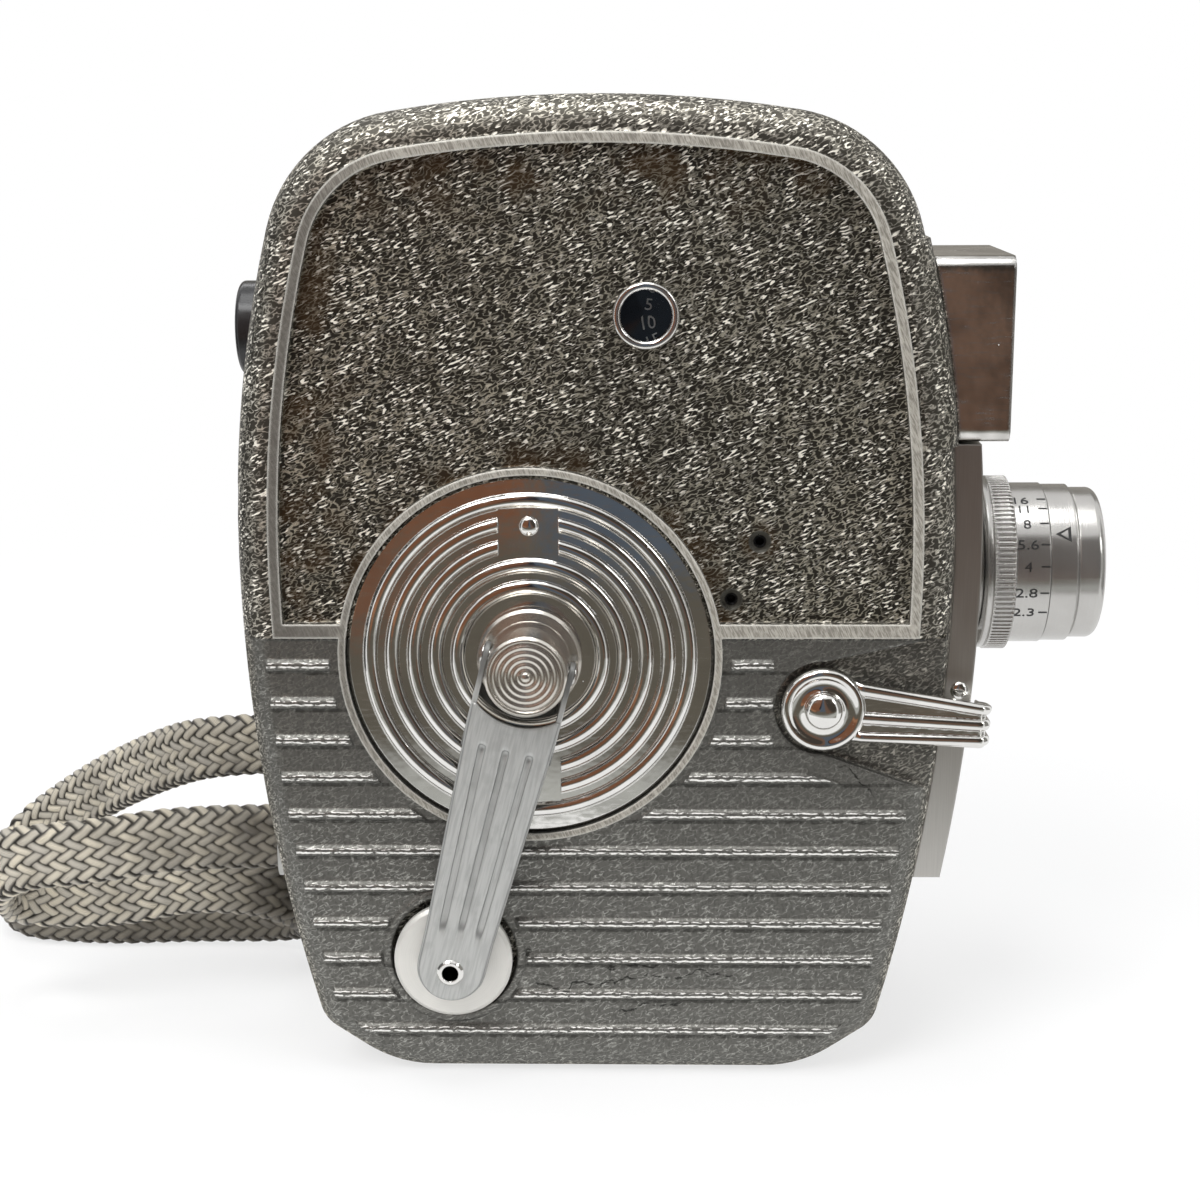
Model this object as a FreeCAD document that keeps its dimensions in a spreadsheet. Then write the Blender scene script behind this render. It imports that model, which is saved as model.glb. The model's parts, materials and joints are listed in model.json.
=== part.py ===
"""A spring-wound movie camera for double-8 film on spools, in millimetres.

+X is the way the lens looks, +Z is up, and the winding side faces -Y, so the lift-off film
cover faces +Y. The origin is the mouth of the tripod socket, in the middle of the flat base.
"""
import FreeCAD, Part
import Sketcher
import math
import os
import re
from FreeCAD import Placement, Rotation, Vector

doc = FreeCAD.newDocument("movie_camera")
dims = doc.addObject("Spreadsheet::Sheet", "dims")

# Driving dimensions
DRIVING = {
    # The side view is a chain of arcs that run into each other, from the crown to the foot
    "body_height": 130.0, "crown_radius": 160.0, "crown_turn": 9.2,
    "shoulder_radius": 19.4, "shoulder_turn": 66.3,
    "upper_side_radius": 167.0, "upper_side_turn": 14.5,
    "lower_side_radius": 240.0, "lower_side_turn": 15.3,
    "heel_radius": 5.0, "foot_radius": 16.5, "foot_turn": 34.0,
    # Depths across the camera, from the winding side to the film cover
    "face_y": -25.0, "wall_y": -22.0, "joint_y": 15.0, "cover_y": 25.0, "cover_wall_y": 22.8,
    "wall": 2.6, "edge_round": 4.2, "seam": 0.15,
    # The winding side's framed panel, ribs and recesses
    "bead_inset": 4.5, "panel_inset": 5.9, "bead_low": 61.4, "panel_low": 63.3,
    "panel_deep": 1.0, "bead_high": 0.35,
    "rib_first": 6.7, "rib_pitch": 5.1, "rib_radius": 0.9, "rib_inset": 3.3,
    "hub_x": -8.5, "hub_z": 58.8, "disc_radius": 23.9, "ring_radius": 25.0,
    "pocket_radius": 8.5, "pocket_y": -17.4,
    "window_x": 6.6, "window_z": 102.9,
    # Winding crank
    "crank_angle": 14.5, "crank_length": 42.7, "pivot_y": -28.6, "arm_y": -31.0, "cap_y": -35.0,
    "knob_radius": 7.9, "knob_x": -19.191, "knob_z": 17.46, "arbor_radius": 3.0,
    # Start lever
    "lever_x": 29.6, "lever_z": 52.0, "lever_floor": -23.4, "lever_radius": 5.3,
    # Lens and front
    "lens_y": 5.0, "lens_z": 65.0, "front_offset": 3.6, "front_low": 27.2, "front_high": 86.0,
    "front_near": -21.0, "front_far": 13.0, "seat_x": 51.0,
    "knurl_x": 53.3, "scale_x": 57.3, "index_x": 62.1, "groove_x": 66.0, "nose_x": 69.9,
    "knurl_radius": 12.3, "scale_radius": 11.3, "nose_radius": 10.65,
    # Finder
    "finder_y": -10.0, "finder_z": 100.1, "tube_radius": 6.0,
    "hood_near": -22.0, "hood_far": 2.0, "hood_low": 86.3, "hood_high": 109.9, "hood_x": 53.0,
    # Film chamber
    "plate_low": -1.5, "plate_high": 0.5, "plate_front": 36.8,
    "spool_x": -12.0, "supply_z": 86.0, "film_x": 38.7,
    "latch_x": 16.0, "latch_z": 60.0,
    # Spring motor: the barrel's gear drives the take-up pinion and the drive shaft
    "gear_module": 0.8, "barrel_teeth": 52, "takeup_teeth": 12, "drive_teeth": 13,
    "gear_low": -9.5, "gear_high": -7.5, "takeup_z": 33.44, "drive_x": 16.75, "crown_y": -6.7,
    "shutter_y": -4.2, "pinion_radius": 2.4,
    # Wrist strap
    "bush_corner": 5.78, "strap_width": 9.4, "strap_tube": 3.2,
}
for row, (word, value) in enumerate(DRIVING.items(), start=1):
    dims.set("A%d" % row, word)
    dims.set("B%d" % row, str(value))
    dims.setAlias("B%d" % row, word)
doc.recompute()


# Expressions: a size is written as words of the sheet and numbers, added or subtracted
def size(expression):
    """The number that a sum of the sheet's words and plain numbers comes to."""
    total = 0.0
    for sign, term in re.findall(r"([+-]?)\s*([a-z_0-9.*/]+)", str(expression)):
        value = 1.0
        for operator, factor in re.findall(r"([*/]?)([a-z_0-9.]+)", term):
            number = float(dims.get(factor)) if factor[0].isalpha() else float(factor)
            value = value / number if operator == "/" else value * number
        total += -value if sign == "-" else value
    return total


def bind(thing, prop, expression):
    """Tie a property to the sheet's cells."""
    thing.setExpression(prop, re.sub(r"([a-z][a-z_]*)", r"dims.\1", str(expression)))


def bind_place(thing, point):
    for letter, expression in zip("xyz", point):
        bind(thing, "Placement.Base.%s" % letter, expression)


# Solids with plain faces
ALONG = {"x": Rotation(Vector(0, 1, 0), 90), "y": Rotation(Vector(1, 0, 0), -90), "z": Rotation()}


def cylinder(name, start, radius, length, axis="y"):
    """A round bar from start, along +axis."""
    bar = doc.addObject("Part::Cylinder", name)
    bind(bar, "Radius", radius)
    bind(bar, "Height", length)
    bar.Placement = Placement(Vector(), ALONG[axis])
    bind_place(bar, start)
    return bar


def block(name, low, high):
    """A rectangular block between two corners."""
    bar = doc.addObject("Part::Box", name)
    for prop, first, last in zip(("Length", "Width", "Height"), low, high):
        bind(bar, prop, "(%s)-(%s)" % (last, first))
    bind_place(bar, low)
    return bar


def six_sided(name, low, high):
    """An upright six-sided bar in the middle of the base, to the size of the tripod bush."""
    bar = doc.addObject("Part::Prism", name)
    bar.Polygon = 6
    bind(bar, "Circumradius", "bush_corner")
    bind(bar, "Height", "(%s)-(%s)" % (high, low))
    bind_place(bar, ("0", "0", low))
    return bar


def ball(name, centre, radius):
    sphere = doc.addObject("Part::Sphere", name)
    bind(sphere, "Radius", radius)
    bind_place(sphere, centre)
    return sphere


def fuse(name, *parts):
    joined = doc.addObject("Part::MultiFuse", name)
    joined.Shapes = list(parts)
    joined.Refine = True
    return joined


def cut(name, base, *tools):
    result = doc.addObject("Part::Cut", name)
    result.Base = base
    result.Tool = tools[0] if len(tools) == 1 else fuse(name + "_tools", *tools)
    return result


def common(name, first, second):
    result = doc.addObject("Part::Common", name)
    result.Base = first
    result.Tool = second
    return result


# Drawn outlines
def draw(sketch, path):
    """A closed outline. A corner is (x, y); with (x, y, via_x, via_y) an arc leads to it."""
    corners = [Vector(size(step[0]), size(step[1]), 0) for step in path]
    ends = []
    for step, start, end in zip(path, [corners[-1]] + corners[:-1], corners):
        if len(step) == 4:
            via = Vector(size(step[2]), size(step[3]), 0)
            place = sketch.addGeometry(Part.Arc(start, via, end))
            leftward = (via - start).cross(end - via).z > 0
            ends.append((place, 1, 2) if leftward else (place, 2, 1))
            dot = sketch.addGeometry(Part.Point(via))
            sketch.toggleConstruction(dot)
            sketch.addConstraint(Sketcher.Constraint("PointOnObject", dot, 1, place))
            tie(sketch, dot, 1, step[2:4])
        else:
            ends.append((sketch.addGeometry(Part.LineSegment(start, end)), 1, 2))
    for number, (place, first, last) in enumerate(ends):
        following = ends[(number + 1) % len(ends)]
        sketch.addConstraint(Sketcher.Constraint("Coincident", place, last, *following[:2]))
        tie(sketch, place, last, path[number][:2])


def tie(sketch, place, end, pair):
    """Fix a point's two distances from the origin, by the sheet where it has words."""
    for kind, expression in zip(("DistanceX", "DistanceY"), pair):
        row = sketch.addConstraint(Sketcher.Constraint(kind, place, end, size(expression)))
        if re.search("[a-z]", str(expression)):
            bind(sketch, "Constraints[%d]" % row, expression)


def origin_plane(body, role):
    return [plane for plane in body.Origin.OriginFeatures if plane.Role == role][0]


def new_sketch(name, role, path):
    body = doc.addObject("PartDesign::Body", name)
    sketch = body.newObject("Sketcher::SketchObject", name + "_sketch")
    sketch.AttachmentSupport = [(origin_plane(body, role), "")]
    sketch.MapMode = "FlatFace"
    draw(sketch, path)
    return body, sketch


SPIN = {"x": Rotation(Vector(0, 0, 1), -90), "y": Rotation(), "z": Rotation(Vector(1, 0, 0), 90),
        "-x": Rotation(Vector(0, 0, 1), 90), "-y": Rotation(Vector(1, 0, 0), 180)}


def turned(name, origin, path, axis="y"):
    """A lathe part: the outline's corners are (radius, distance along the axis)."""
    body, sketch = new_sketch(name, "XY_Plane", path)
    spin = body.newObject("PartDesign::Revolution", name + "_turned")
    spin.Profile = sketch
    spin.ReferenceAxis = (sketch, ["V_Axis"])
    spin.Angle = 360
    body.Placement = Placement(Vector(), SPIN[axis])
    bind_place(body, origin)
    return body


def flat(name, path, near, far):
    """A part of even thickness: its outline in (x, z) runs from y = near to y = far."""
    body, sketch = new_sketch(name, "XZ_Plane", path)
    pad = body.newObject("PartDesign::Pad", name + "_pad")
    pad.Profile = sketch
    bind(pad, "Length", "(%s)-(%s)" % (far, near))
    bind_place(body, ("0", far, "0"))
    return body


# The body's side view
def arc(start, heading, radius, turn):
    """A clockwise arc: its edge, and where it ends."""
    side = Vector(math.sin(heading), -math.cos(heading), 0)
    centre = start + side * radius
    def at(angle):
        spoke = heading + math.pi / 2 - angle
        return centre + Vector(math.cos(spoke), math.sin(spoke), 0) * radius
    return (start, at(turn / 2), at(turn)), heading - turn


def outline_edges(inset):
    """The body's right half from the crown's middle to the foot, as triples of points.

    Every arc turns the same way, so a smaller outline keeps the turns and takes the inset off
    each radius.
    """
    turns = [math.radians(size(word + "_turn"))
             for word in ("crown", "shoulder", "upper_side", "lower_side")]
    foot_turn = math.radians(size("foot_turn"))
    turns.append(math.pi - sum(turns) - foot_turn)
    radii = [size(word + "_radius") - inset
             for word in ("crown", "shoulder", "upper_side", "lower_side", "heel")]
    here = Vector(0, size("body_height") - inset, 0)
    heading = 0.0
    pieces = []
    for radius, turn in zip(radii, turns):
        points, heading = arc(here, heading, radius, turn)
        pieces.append(points)
        here = points[2]
    foot_radius = size("foot_radius") - inset
    drop = here.y - inset - foot_radius * (1 - math.cos(foot_turn))
    run = drop / math.sin(foot_turn)
    there = here + Vector(math.cos(heading), math.sin(heading), 0) * run
    pieces.append((here, there))
    pieces.append(arc(there, heading, foot_radius, foot_turn)[0])
    return pieces


def outline_wire(inset):
    """The whole side view as a closed wire in the plane y = 0."""
    def lift(point, flip):
        return Vector(-point.x if flip else point.x, 0, point.y)
    edges = []
    for piece in outline_edges(inset):
        for flip in (False, True):
            points = [lift(point, flip) for point in piece]
            curve = Part.Arc(*points) if len(points) == 3 else Part.LineSegment(*points)
            edges.append(curve.toShape())
    foot = outline_edges(inset)[-1][-1]
    edges.append(Part.LineSegment(lift(foot, False), lift(foot, True)).toShape())
    return Part.Wire(Part.__sortEdges__(edges))


def body_prism(name, inset, near, far):
    """The body's side view, smaller all round by the inset, from y = near to y = far."""
    face = doc.addObject("Part::Feature", name + "_outline")
    face.Shape = Part.Face(outline_wire(size(inset)))
    face.Placement = Placement(Vector(0, size(near), 0), Rotation())
    prism = doc.addObject("Part::Extrusion", name)
    prism.Base = face
    prism.DirMode = "Custom"
    prism.Dir = Vector(0, 1, 0)
    prism.Solid = True
    bind(prism, "LengthFwd", "(%s)-(%s)" % (far, near))
    return prism


def rounded(name, solid, y, radius):
    """Round the outer edge that lies at depth y."""
    doc.recompute()
    result = doc.addObject("Part::Fillet", name)
    result.Base = solid
    result.Edges = [(number, radius, radius)
                    for number, edge in enumerate(solid.Shape.Edges, start=1)
                    if all(abs(corner.Point.y - y) < 1e-4 for corner in edge.Vertexes)]
    return result


PARTS = []


def part(solid, label):
    """Register a finished sub-part under the name of its node."""
    solid.Label = label
    PARTS.append(solid)
    return solid


# Main casting: the winding side and the wall all round, cast in one
def cast_shell():
    skin = rounded("casting_skin", body_prism("casting_bulk", "0", "face_y", "joint_y"),
                   size("face_y"), size("edge_round"))
    hollow = body_prism("casting_hollow", "wall", "wall_y", "joint_y+1")
    knob_cup = cylinder("knob_cup", ("knob_x", "wall_y-1", "knob_z"), "pocket_radius+1.7",
                        "pocket_y-wall_y+2.6")
    posts = [cylinder("plate_post", (x, "wall_y-0.5", z), "2.6", "plate_low-wall_y+0.5")
             for x, z in PLATE_POSTS]
    socket_boss = block("socket_boss", ("-9", "-9", "1"), ("9", "9", "9"))
    return fuse("casting_body", cut("casting_cup", skin, hollow), knob_cup, socket_boss, *posts)


PLATE_POSTS = (("-37", "84"), ("-35.5", "30"), ("28", "22"), ("30", "112"))
NAMEPLATE_HOLES = (("21.2", "73.9"), ("17.6", "66.3"))
SCREW_HEIGHTS = ("hub_z+17.4", "hub_z-17.4")
GEAR_PIVOTS = (("spool_x", "takeup_z"), ("drive_x", "lens_z"))
STRAP_ENDS = (("0-46", "8", "36.8"), ("0-44.9", "-10", "28.8"))


def ring_bar(name, radius, near, far):
    """A bar about the winding axis, used to clear the ground for the winding disc."""
    return cylinder(name, ("hub_x", near, "hub_z"), radius, "(%s)-(%s)" % (far, near))


def bead():
    """The machined land round the sunk panel, open where the disc's ring crosses it."""
    outer = common("bead_outer", body_prism("bead_edge", "bead_inset", "face_y-bead_high",
                                            "face_y+1"),
                   block("bead_above", ("-60", "-40", "bead_low"), ("60", "0", "140")))
    window = common("bead_window", body_prism("panel_edge", "panel_inset", "face_y-2", "face_y+2"),
                    block("panel_above", ("-60", "-40", "panel_low"), ("60", "0", "140")))
    return cut("bead", outer, window, ring_bar("bead_gap", "ring_radius", "face_y-2", "face_y+2"))


def ribs():
    """Half-round ridges across the lower face, kept off the ring, the pocket and the recess."""
    bars = [cylinder("rib", ("-50", "face_y+0.4", "rib_first+rib_pitch*%d" % number),
                     "rib_radius", "100", "x") for number in range(11)]
    ground = cut("rib_ground", body_prism("rib_field", "rib_inset", "face_y-1", "face_y+0.6"),
                 ring_bar("rib_gap", "ring_radius+1.2", "face_y-2", "face_y+2"),
                 cylinder("rib_pocket_gap", ("knob_x", "face_y-2", "knob_z"),
                          "pocket_radius+1.4", "4"),
                 flat("rib_lever_gap", [("lever_x-6.5", "44.5"), ("50", "36"), ("50", "64"),
                                        ("lever_x-6.5", "58.5")], "face_y-2", "face_y+2"))
    return common("ribs", fuse("rib_bars", *bars), ground)


def lever_recess():
    """The fan that the start lever swings in, open to the front."""
    fan = flat("recess_fan", [("lever_x-0.5", "lever_z+6.1"), ("lever_x-0.5", "lever_z-6.1"),
                              ("53", "37.2"), ("53", "63.4")], "face_y-2", "lever_floor")
    pocket = cylinder("recess_pocket", ("lever_x", "face_y-2", "lever_z"), "6.3",
                      "lever_floor-face_y+2")
    return fuse("lever_recess", fan, pocket)


def strap_slot(name, y, z, near, far):
    """A bar with round ends, tall enough for the strap on edge."""
    ends = [cylinder(name + "_end", (near, y, z + rise), "2.6", "(%s)-(%s)" % (far, near), "x")
            for rise in ("-3", "+3")]
    middle = block(name + "_middle", (near, y + "-2.6", z + "-3"), (far, y + "+2.6", z + "+3"))
    return fuse(name, middle, *ends)


def main_casting():
    skin = rounded("ear_skin", body_prism("ear_bulk", "0-0.55", "face_y-0.3", "hood_far"),
                   size("face_y") - 0.3, size("edge_round"))
    slab = common("ear_slab", skin,
                  block("ear_field", ("36", "-30", "front_high+0.05"), ("60", "10", "112.2")))
    ear = cut("ear", slab, body_prism("ear_inner", "2.4", "wall_y-0.5", "hood_far+1"),
              body_prism("ear_front", "3.9", "face_y-2", "wall_y"))
    ring = ring_bar("seat_ring", "ring_radius", "face_y-bead_high", "face_y+1")
    panel = common("panel", body_prism("panel_field", "panel_inset", "face_y-2",
                                       "face_y+panel_deep"),
                   block("panel_room", ("-60", "-40", "panel_low"), ("60", "0", "140")))
    sunk = cut("sunk_panel", panel, ring_bar("panel_gap", "ring_radius", "face_y-3", "face_y+3"))
    ground = cut("casting_sunk", cast_shell(), sunk)
    lip = turned("pocket_lip", ("knob_x", "0", "knob_z"), [
        ("pocket_radius-1", "face_y+0.5"), ("pocket_radius-1", "face_y-0.3"),
        ("pocket_radius+0.7", "face_y-0.3"),
        ("pocket_radius+1.15", "face_y", "pocket_radius+1.02", "face_y-0.21"),
        ("pocket_radius+1.15", "face_y+0.5")])
    raised = fuse("casting_raised", ground, bead(), ribs(), ring, ear, lip)
    holes = [
        ring_bar("disc_seat", "disc_radius+0.12", "face_y-1", "face_y+0.9"),
        ring_bar("arbor_hole", "arbor_radius+0.05", "face_y-1", "wall_y+1"),
        cylinder("knob_pocket", ("knob_x", "face_y-1", "knob_z"), "pocket_radius",
                 "pocket_y-face_y+1"),
        lever_recess(),
        cylinder("lever_hole", ("lever_x", "face_y", "lever_z"), "1.55", "6"),
        cylinder("window_hole", ("window_x", "face_y-1", "window_z"), "3.75", "6"),
        cylinder("lens_hole", ("40", "lens_y", "lens_z"), "8.05", "10", "x"),
        block("finder_hole", ("40", "finder_y-6.6", "finder_z-5.2"),
              ("50", "finder_y+6.6", "finder_z+5.2")),
        cylinder("eye_hole", ("-50", "finder_y", "finder_z"), "5.05", "10", "x"),
        cylinder("eye_seat", ("-50", "finder_y", "finder_z"), "6.25", "5.7", "x"),
        six_sided("socket_hole", "0-1", "10"),
    ]
    for x, z in NAMEPLATE_HOLES:
        holes.append(cylinder("plate_hole", (x, "face_y", z), "0.55", "2.4"))
        holes.append(cylinder("plate_hole_mouth", (x, "face_y", z), "1.3", "panel_deep+0.35"))
    for z in SCREW_HEIGHTS:
        holes.append(cylinder("disc_screw_hole", ("hub_x+0.1", "face_y", z), "0.62", "2.6"))
    for x, z in PLATE_POSTS:
        holes.append(cylinder("post_hole", (x, "plate_low-5", z), "0.92", "6"))
    for x, z in GEAR_PIVOTS:
        holes.append(cylinder("pivot_hole", (x, "wall_y-1.6", z), "0.85", "2"))
    for near, y, z in STRAP_ENDS:
        holes.append(strap_slot("strap_slot", y, z, "0-52", "0-38"))
    return part(cut("main_casting", raised, *holes), "main_casting")




# Small turned parts and groups
def domed(name, place, head, high, shank, deep, axis="-y"):
    """A round-headed screw or rivet; the head's underside is at place."""
    return turned(name, place, [("0", "0-%s" % deep), (shank, "0-%s" % deep), (shank, "0"),
                                (head, "0"), (head, high + "/3"),
                                ("0.2", high, head + "*0.7", high + "*0.8"), ("0", high)], axis)


def group(name, parts):
    """Alike fasteners kept in one node as separate solids."""
    together = doc.addObject("Part::Compound", name)
    together.Links = parts
    return part(together, name)


# Winding disc and its two screws
def winding_disc():
    """A pressed escutcheon with five round ridges, fixed to the casting."""
    path = [("4.2", "face_y+0.9"), ("4.2", "face_y+0.1")]
    for ridge in ("9.4", "12.25", "15.1", "17.95", "20.8"):
        path.append((ridge + "-0.95", "face_y+0.1"))
        path.append((ridge + "+0.95", "face_y+0.1", ridge, "face_y-0.5"))
    path += [("disc_radius-0.4", "face_y+0.1"), ("disc_radius", "face_y+0.5"),
             ("disc_radius", "face_y+0.9")]
    disc = turned("disc_pressing", ("hub_x", "0", "hub_z"), path)
    tools = []
    fill = []
    for z, low, high in (("top", "hub_z+13.6", "hub_z+19.7"), ("low", "hub_z-19.7", "hub_z-13.6")):
        patch = block("patch_" + z, ("hub_x-3.9", "face_y-1", low), ("hub_x+3.9", "face_y+0.1", high))
        tools.append(patch)
    for z in SCREW_HEIGHTS:
        tools.append(cylinder("disc_hole", ("hub_x+0.1", "face_y-1", z), "0.62", "3"))
    return part(cut("winding_disc", disc, *tools), "winding_disc")


def disc_screws():
    return group("disc_screws", [domed("disc_screw", ("hub_x+0.1", "face_y+0.1", z), "1.0",
                                       "0.7", "0.6", "2.2") for z in SCREW_HEIGHTS])


# Winding crank, drawn pointing straight down from the hub and then swung to its place
def swing(thing):
    spin = Rotation(Vector(0, 1, 0), size("crank_angle"))
    thing.Placement = Placement(Vector(size("hub_x"), 0, size("hub_z")), spin)
    return thing


def winding_hub():
    post = turned("hub_post", ("0", "0", "0"), [
        ("0", "cap_y-0.3"), ("0.5", "cap_y-0.1"), ("0.8", "cap_y+0.25"), ("4.4", "cap_y+0.25"),
        ("4.6", "cap_y"), ("4.9", "cap_y"), ("5.25", "cap_y+0.35"), ("5.25", "face_y-1.7"),
        ("6.4", "face_y-1.7"), ("6.8", "face_y-1.3"), ("6.8", "face_y-0.2"), ("0", "face_y-0.2")])
    tools = [block("hub_flat", ("5.12", "cap_y-1", "0-8"), ("9", "face_y-1.7", "8")),
             block("hub_flat_far", ("0-9", "cap_y-1", "0-8"), ("0-5.12", "face_y-1.7", "8")),
             cylinder("pin_hole", ("0-6", "pivot_y", "0"), "0.8", "12", "x")]
    return part(swing(cut("winding_hub", post, *tools)), "winding_hub")


def hinge_pins():
    near = domed("hinge_pin", ("5.97", "pivot_y", "0"), "1.3", "0.5", "0.8", "5.9", "x")
    far = domed("hinge_pin", ("0-5.97", "pivot_y", "0"), "1.3", "0.5", "0.8", "5.9", "-x")
    pair = group("hinge_pins", [near, far])
    return swing(pair)


def crank_arm():
    """A pressed channel: flat top with three beads, turned-down sides and two hinge ears."""
    def plan(name, edge, near, far):
        return flat(name, [("0-5.95+" + edge, "0-6.5-" + edge), ("5.95-" + edge, "0-6.5-" + edge),
                           ("5.95-" + edge, "0-11"), ("4.75-" + edge, "0-41"),
                           ("0-4.75+" + edge, "0-41", "0", "0-47.1+" + edge),
                           ("0-5.95+" + edge, "0-11")], near, far)
    top = plan("arm_top", "0", "arm_y", "arm_y+2.6")
    beads = [cylinder("arm_bead", (x, "arm_y+0.45", "0-38.5"), "0.75", "26", "z")
             for x in ("0-3", "0", "3")]
    ears = []
    for x in ("5.25", "0-5.95"):
        ears.append(block("arm_ear", (x, "pivot_y-1.8", "0-12"), (x + "+0.7", "pivot_y+1.8", "0")))
        ears.append(cylinder("arm_ear_end", (x, "pivot_y", "0"), "1.8", "0.7", "x"))
    hollow = plan("arm_hollow", "0.7", "arm_y+0.8", "arm_y+9")
    room = block("arm_room", ("0-5.25", "arm_y+0.8", "0-8"), ("5.25", "arm_y+9", "3"))
    tools = [hollow, room, cylinder("arm_cut", ("0", "arm_y-1", "0"), "8.3", "4"),
             cylinder("arm_pin_hole", ("0-7", "pivot_y", "0"), "0.86", "14", "x"),
             cylinder("arm_rivet_hole", ("0", "arm_y-1", "0-crank_length"), "1.6", "3")]
    body = cut("arm_pressed", fuse("arm_raised", top, *beads), tools[0], tools[2], tools[4])
    ear_pair = cut("arm_ears", fuse("arm_ear_pair", *ears), tools[1], tools[3])
    return part(swing(fuse("crank_arm", body, ear_pair)), "crank_arm")


def crank_rivet():
    """The hollow rivet that the knob turns on."""
    return part(turned("crank_rivet", ("knob_x", "0", "knob_z"), [
        ("1.1", "arm_y-0.45"), ("1.5", "arm_y-0.45"), ("1.8", "arm_y-0.15"), ("1.8", "arm_y"),
        ("1.6", "arm_y"), ("1.6", "pocket_y-1.1"), ("2.6", "pocket_y-1.1"),
        ("2.6", "pocket_y-0.6"), ("1.1", "pocket_y-0.6")]), "crank_rivet")


def crank_knob():
    top = "arm_y+3.7"
    return part(turned("crank_knob", ("knob_x", "0", "knob_z"), [
        ("1.66", "arm_y+0.9"), ("3", "arm_y+0.9"), ("3", top), ("knob_radius-0.5", top),
        ("knob_radius", top + "+0.5"), ("knob_radius", top + "+1.3"),
        ("knob_radius-0.4", top + "+1.65"), ("5.4", top + "+1.75"),
        ("5.6", top + "+7.7", "4.7", top + "+4.9"), ("5.2", "pocket_y-1"), ("3.1", "pocket_y-1"),
        ("3.1", "pocket_y-1.7"), ("1.66", "pocket_y-1.7")]), "crank_knob")


# Start lever
def start_lever():
    """Boss, ridged arm and the finger tab that turns round the front plate's edge."""
    boss = turned("lever_boss", ("lever_x", "0", "lever_z"), [
        ("0", "lever_floor-0.1"), ("lever_radius", "lever_floor-0.1"), ("lever_radius", "0-25.6"),
        ("lever_radius-1", "0-26.4", "lever_radius-0.3", "0-26.2"), ("0", "0-26.5")])
    arm = flat("lever_arm", [("lever_x+3.4", "lever_z+4"), ("lever_x+3.6", "lever_z-4.2"),
                             ("50.6", "46.4"), ("51.4", "46.9"), ("51.4", "51.9"),
                             ("50.8", "52.4"), ("36", "54.6")], "0-26.4", "0-25")
    tab = block("lever_tab", ("50.75", "0-26.4", "46.7"), ("51.4", "0-19", "52.1"))
    ridges = []
    for start, drop in (("53.3", "0.11"), ("50.6", "0.066"), ("47.9", "0.03")):
        ridge = doc.addObject("Part::Cylinder", "lever_ridge")
        bind(ridge, "Radius", "0.85")
        bind(ridge, "Height", "15.6")
        angle = 90 + math.degrees(float(drop))
        ridge.Placement = Placement(Vector(), Rotation(Vector(0, 1, 0), angle))
        bind_place(ridge, ("35.2", "0-26.2", start))
        ridges.append(ridge)
    hole = cylinder("lever_bore", ("lever_x", "0-30", "lever_z"), "1.5", "10")
    return part(cut("start_lever", fuse("lever_pressing", boss, arm, tab, *ridges), hole),
                "start_lever")


def lever_spindle():
    """The domed rivet head and the spindle through the wall, with the brake arm's seat."""
    return part(turned("lever_spindle", ("lever_x", "0", "lever_z"), [
        ("0", "0-27.7"), ("0.3", "0-27.7"), ("2.1", "0-26.9", "1.4", "0-27.5"),
        ("2.1", "0-26.5"), ("1.5", "0-26.5"),
        ("1.5", "wall_y+2.4"), ("0", "wall_y+2.4")]), "lever_spindle")


def brake_arm():
    """The arm on the spindle's inner end that stops the governor."""
    plate = flat("brake_plate", [("lever_x-3", "lever_z-3"), ("lever_x+3", "lever_z-3"),
                                 ("lever_x+3", "lever_z+3"), ("23.6", "59.6"), ("22", "58")],
                 "wall_y+0.4", "wall_y+1.6")
    bore = cylinder("brake_bore", ("lever_x", "wall_y", "lever_z"), "1.5", "4")
    return part(cut("brake_arm", plate, bore), "brake_arm")


# Film counter
def counter_bezel():
    return part(turned("counter_bezel", ("window_x", "0", "window_z"), [
        ("3.2", "wall_y-0.1"), ("3.7", "wall_y-0.1"), ("3.7", "face_y+panel_deep"),
        ("4.25", "face_y+panel_deep"), ("4.25", "face_y+0.3"),
        ("3.2", "face_y+0.3", "3.75", "face_y-0.15")]), "counter_bezel")


def counter_glass():
    return part(turned("counter_glass", ("window_x", "0", "window_z"), [
        ("0", "face_y+0.5"), ("3.2", "face_y+0.7"), ("3.2", "face_y+1.5"), ("0", "face_y+1.5")]),
        "counter_glass")


def counter_dial():
    return part(turned("counter_dial", ("window_x+8", "0", "window_z"), [
        ("0.86", "wall_y+0.3"), ("11.2", "wall_y+0.3"), ("11.2", "wall_y+0.9"),
        ("0.86", "wall_y+0.9")]), "counter_dial")


def counter_stud():
    return part(turned("counter_stud", ("window_x+8", "0", "window_z"), [
        ("0", "wall_y"), ("0.8", "wall_y"), ("0.8", "wall_y+1"), ("1.8", "wall_y+1"),
        ("1.8", "wall_y+1.4"), ("0", "wall_y+1.4")]), "counter_stud")


# Finder
AT_FINDER = ("0", "finder_y", "finder_z")


def finder_tube():
    return part(turned("finder_tube", AT_FINDER, [
        ("tube_radius-0.5", "0-39.6"), ("tube_radius", "0-39.6"), ("tube_radius", "39.6"),
        ("tube_radius-0.5", "39.6")], "x"), "finder_tube")


def eyepiece():
    return part(turned("eyepiece", AT_FINDER, [
        ("4", "0-46.5"), ("4.6", "0-46.9"), ("5.6", "0-46.9"), ("6.2", "0-46.2", "6", "0-46.7"),
        ("6.2", "0-44.3"), ("5", "0-44.3"), ("5", "0-38.6"), ("3.4", "0-38.6"),
        ("3.4", "0-45.1"), ("4", "0-45.1")], "x"), "eyepiece")


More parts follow.
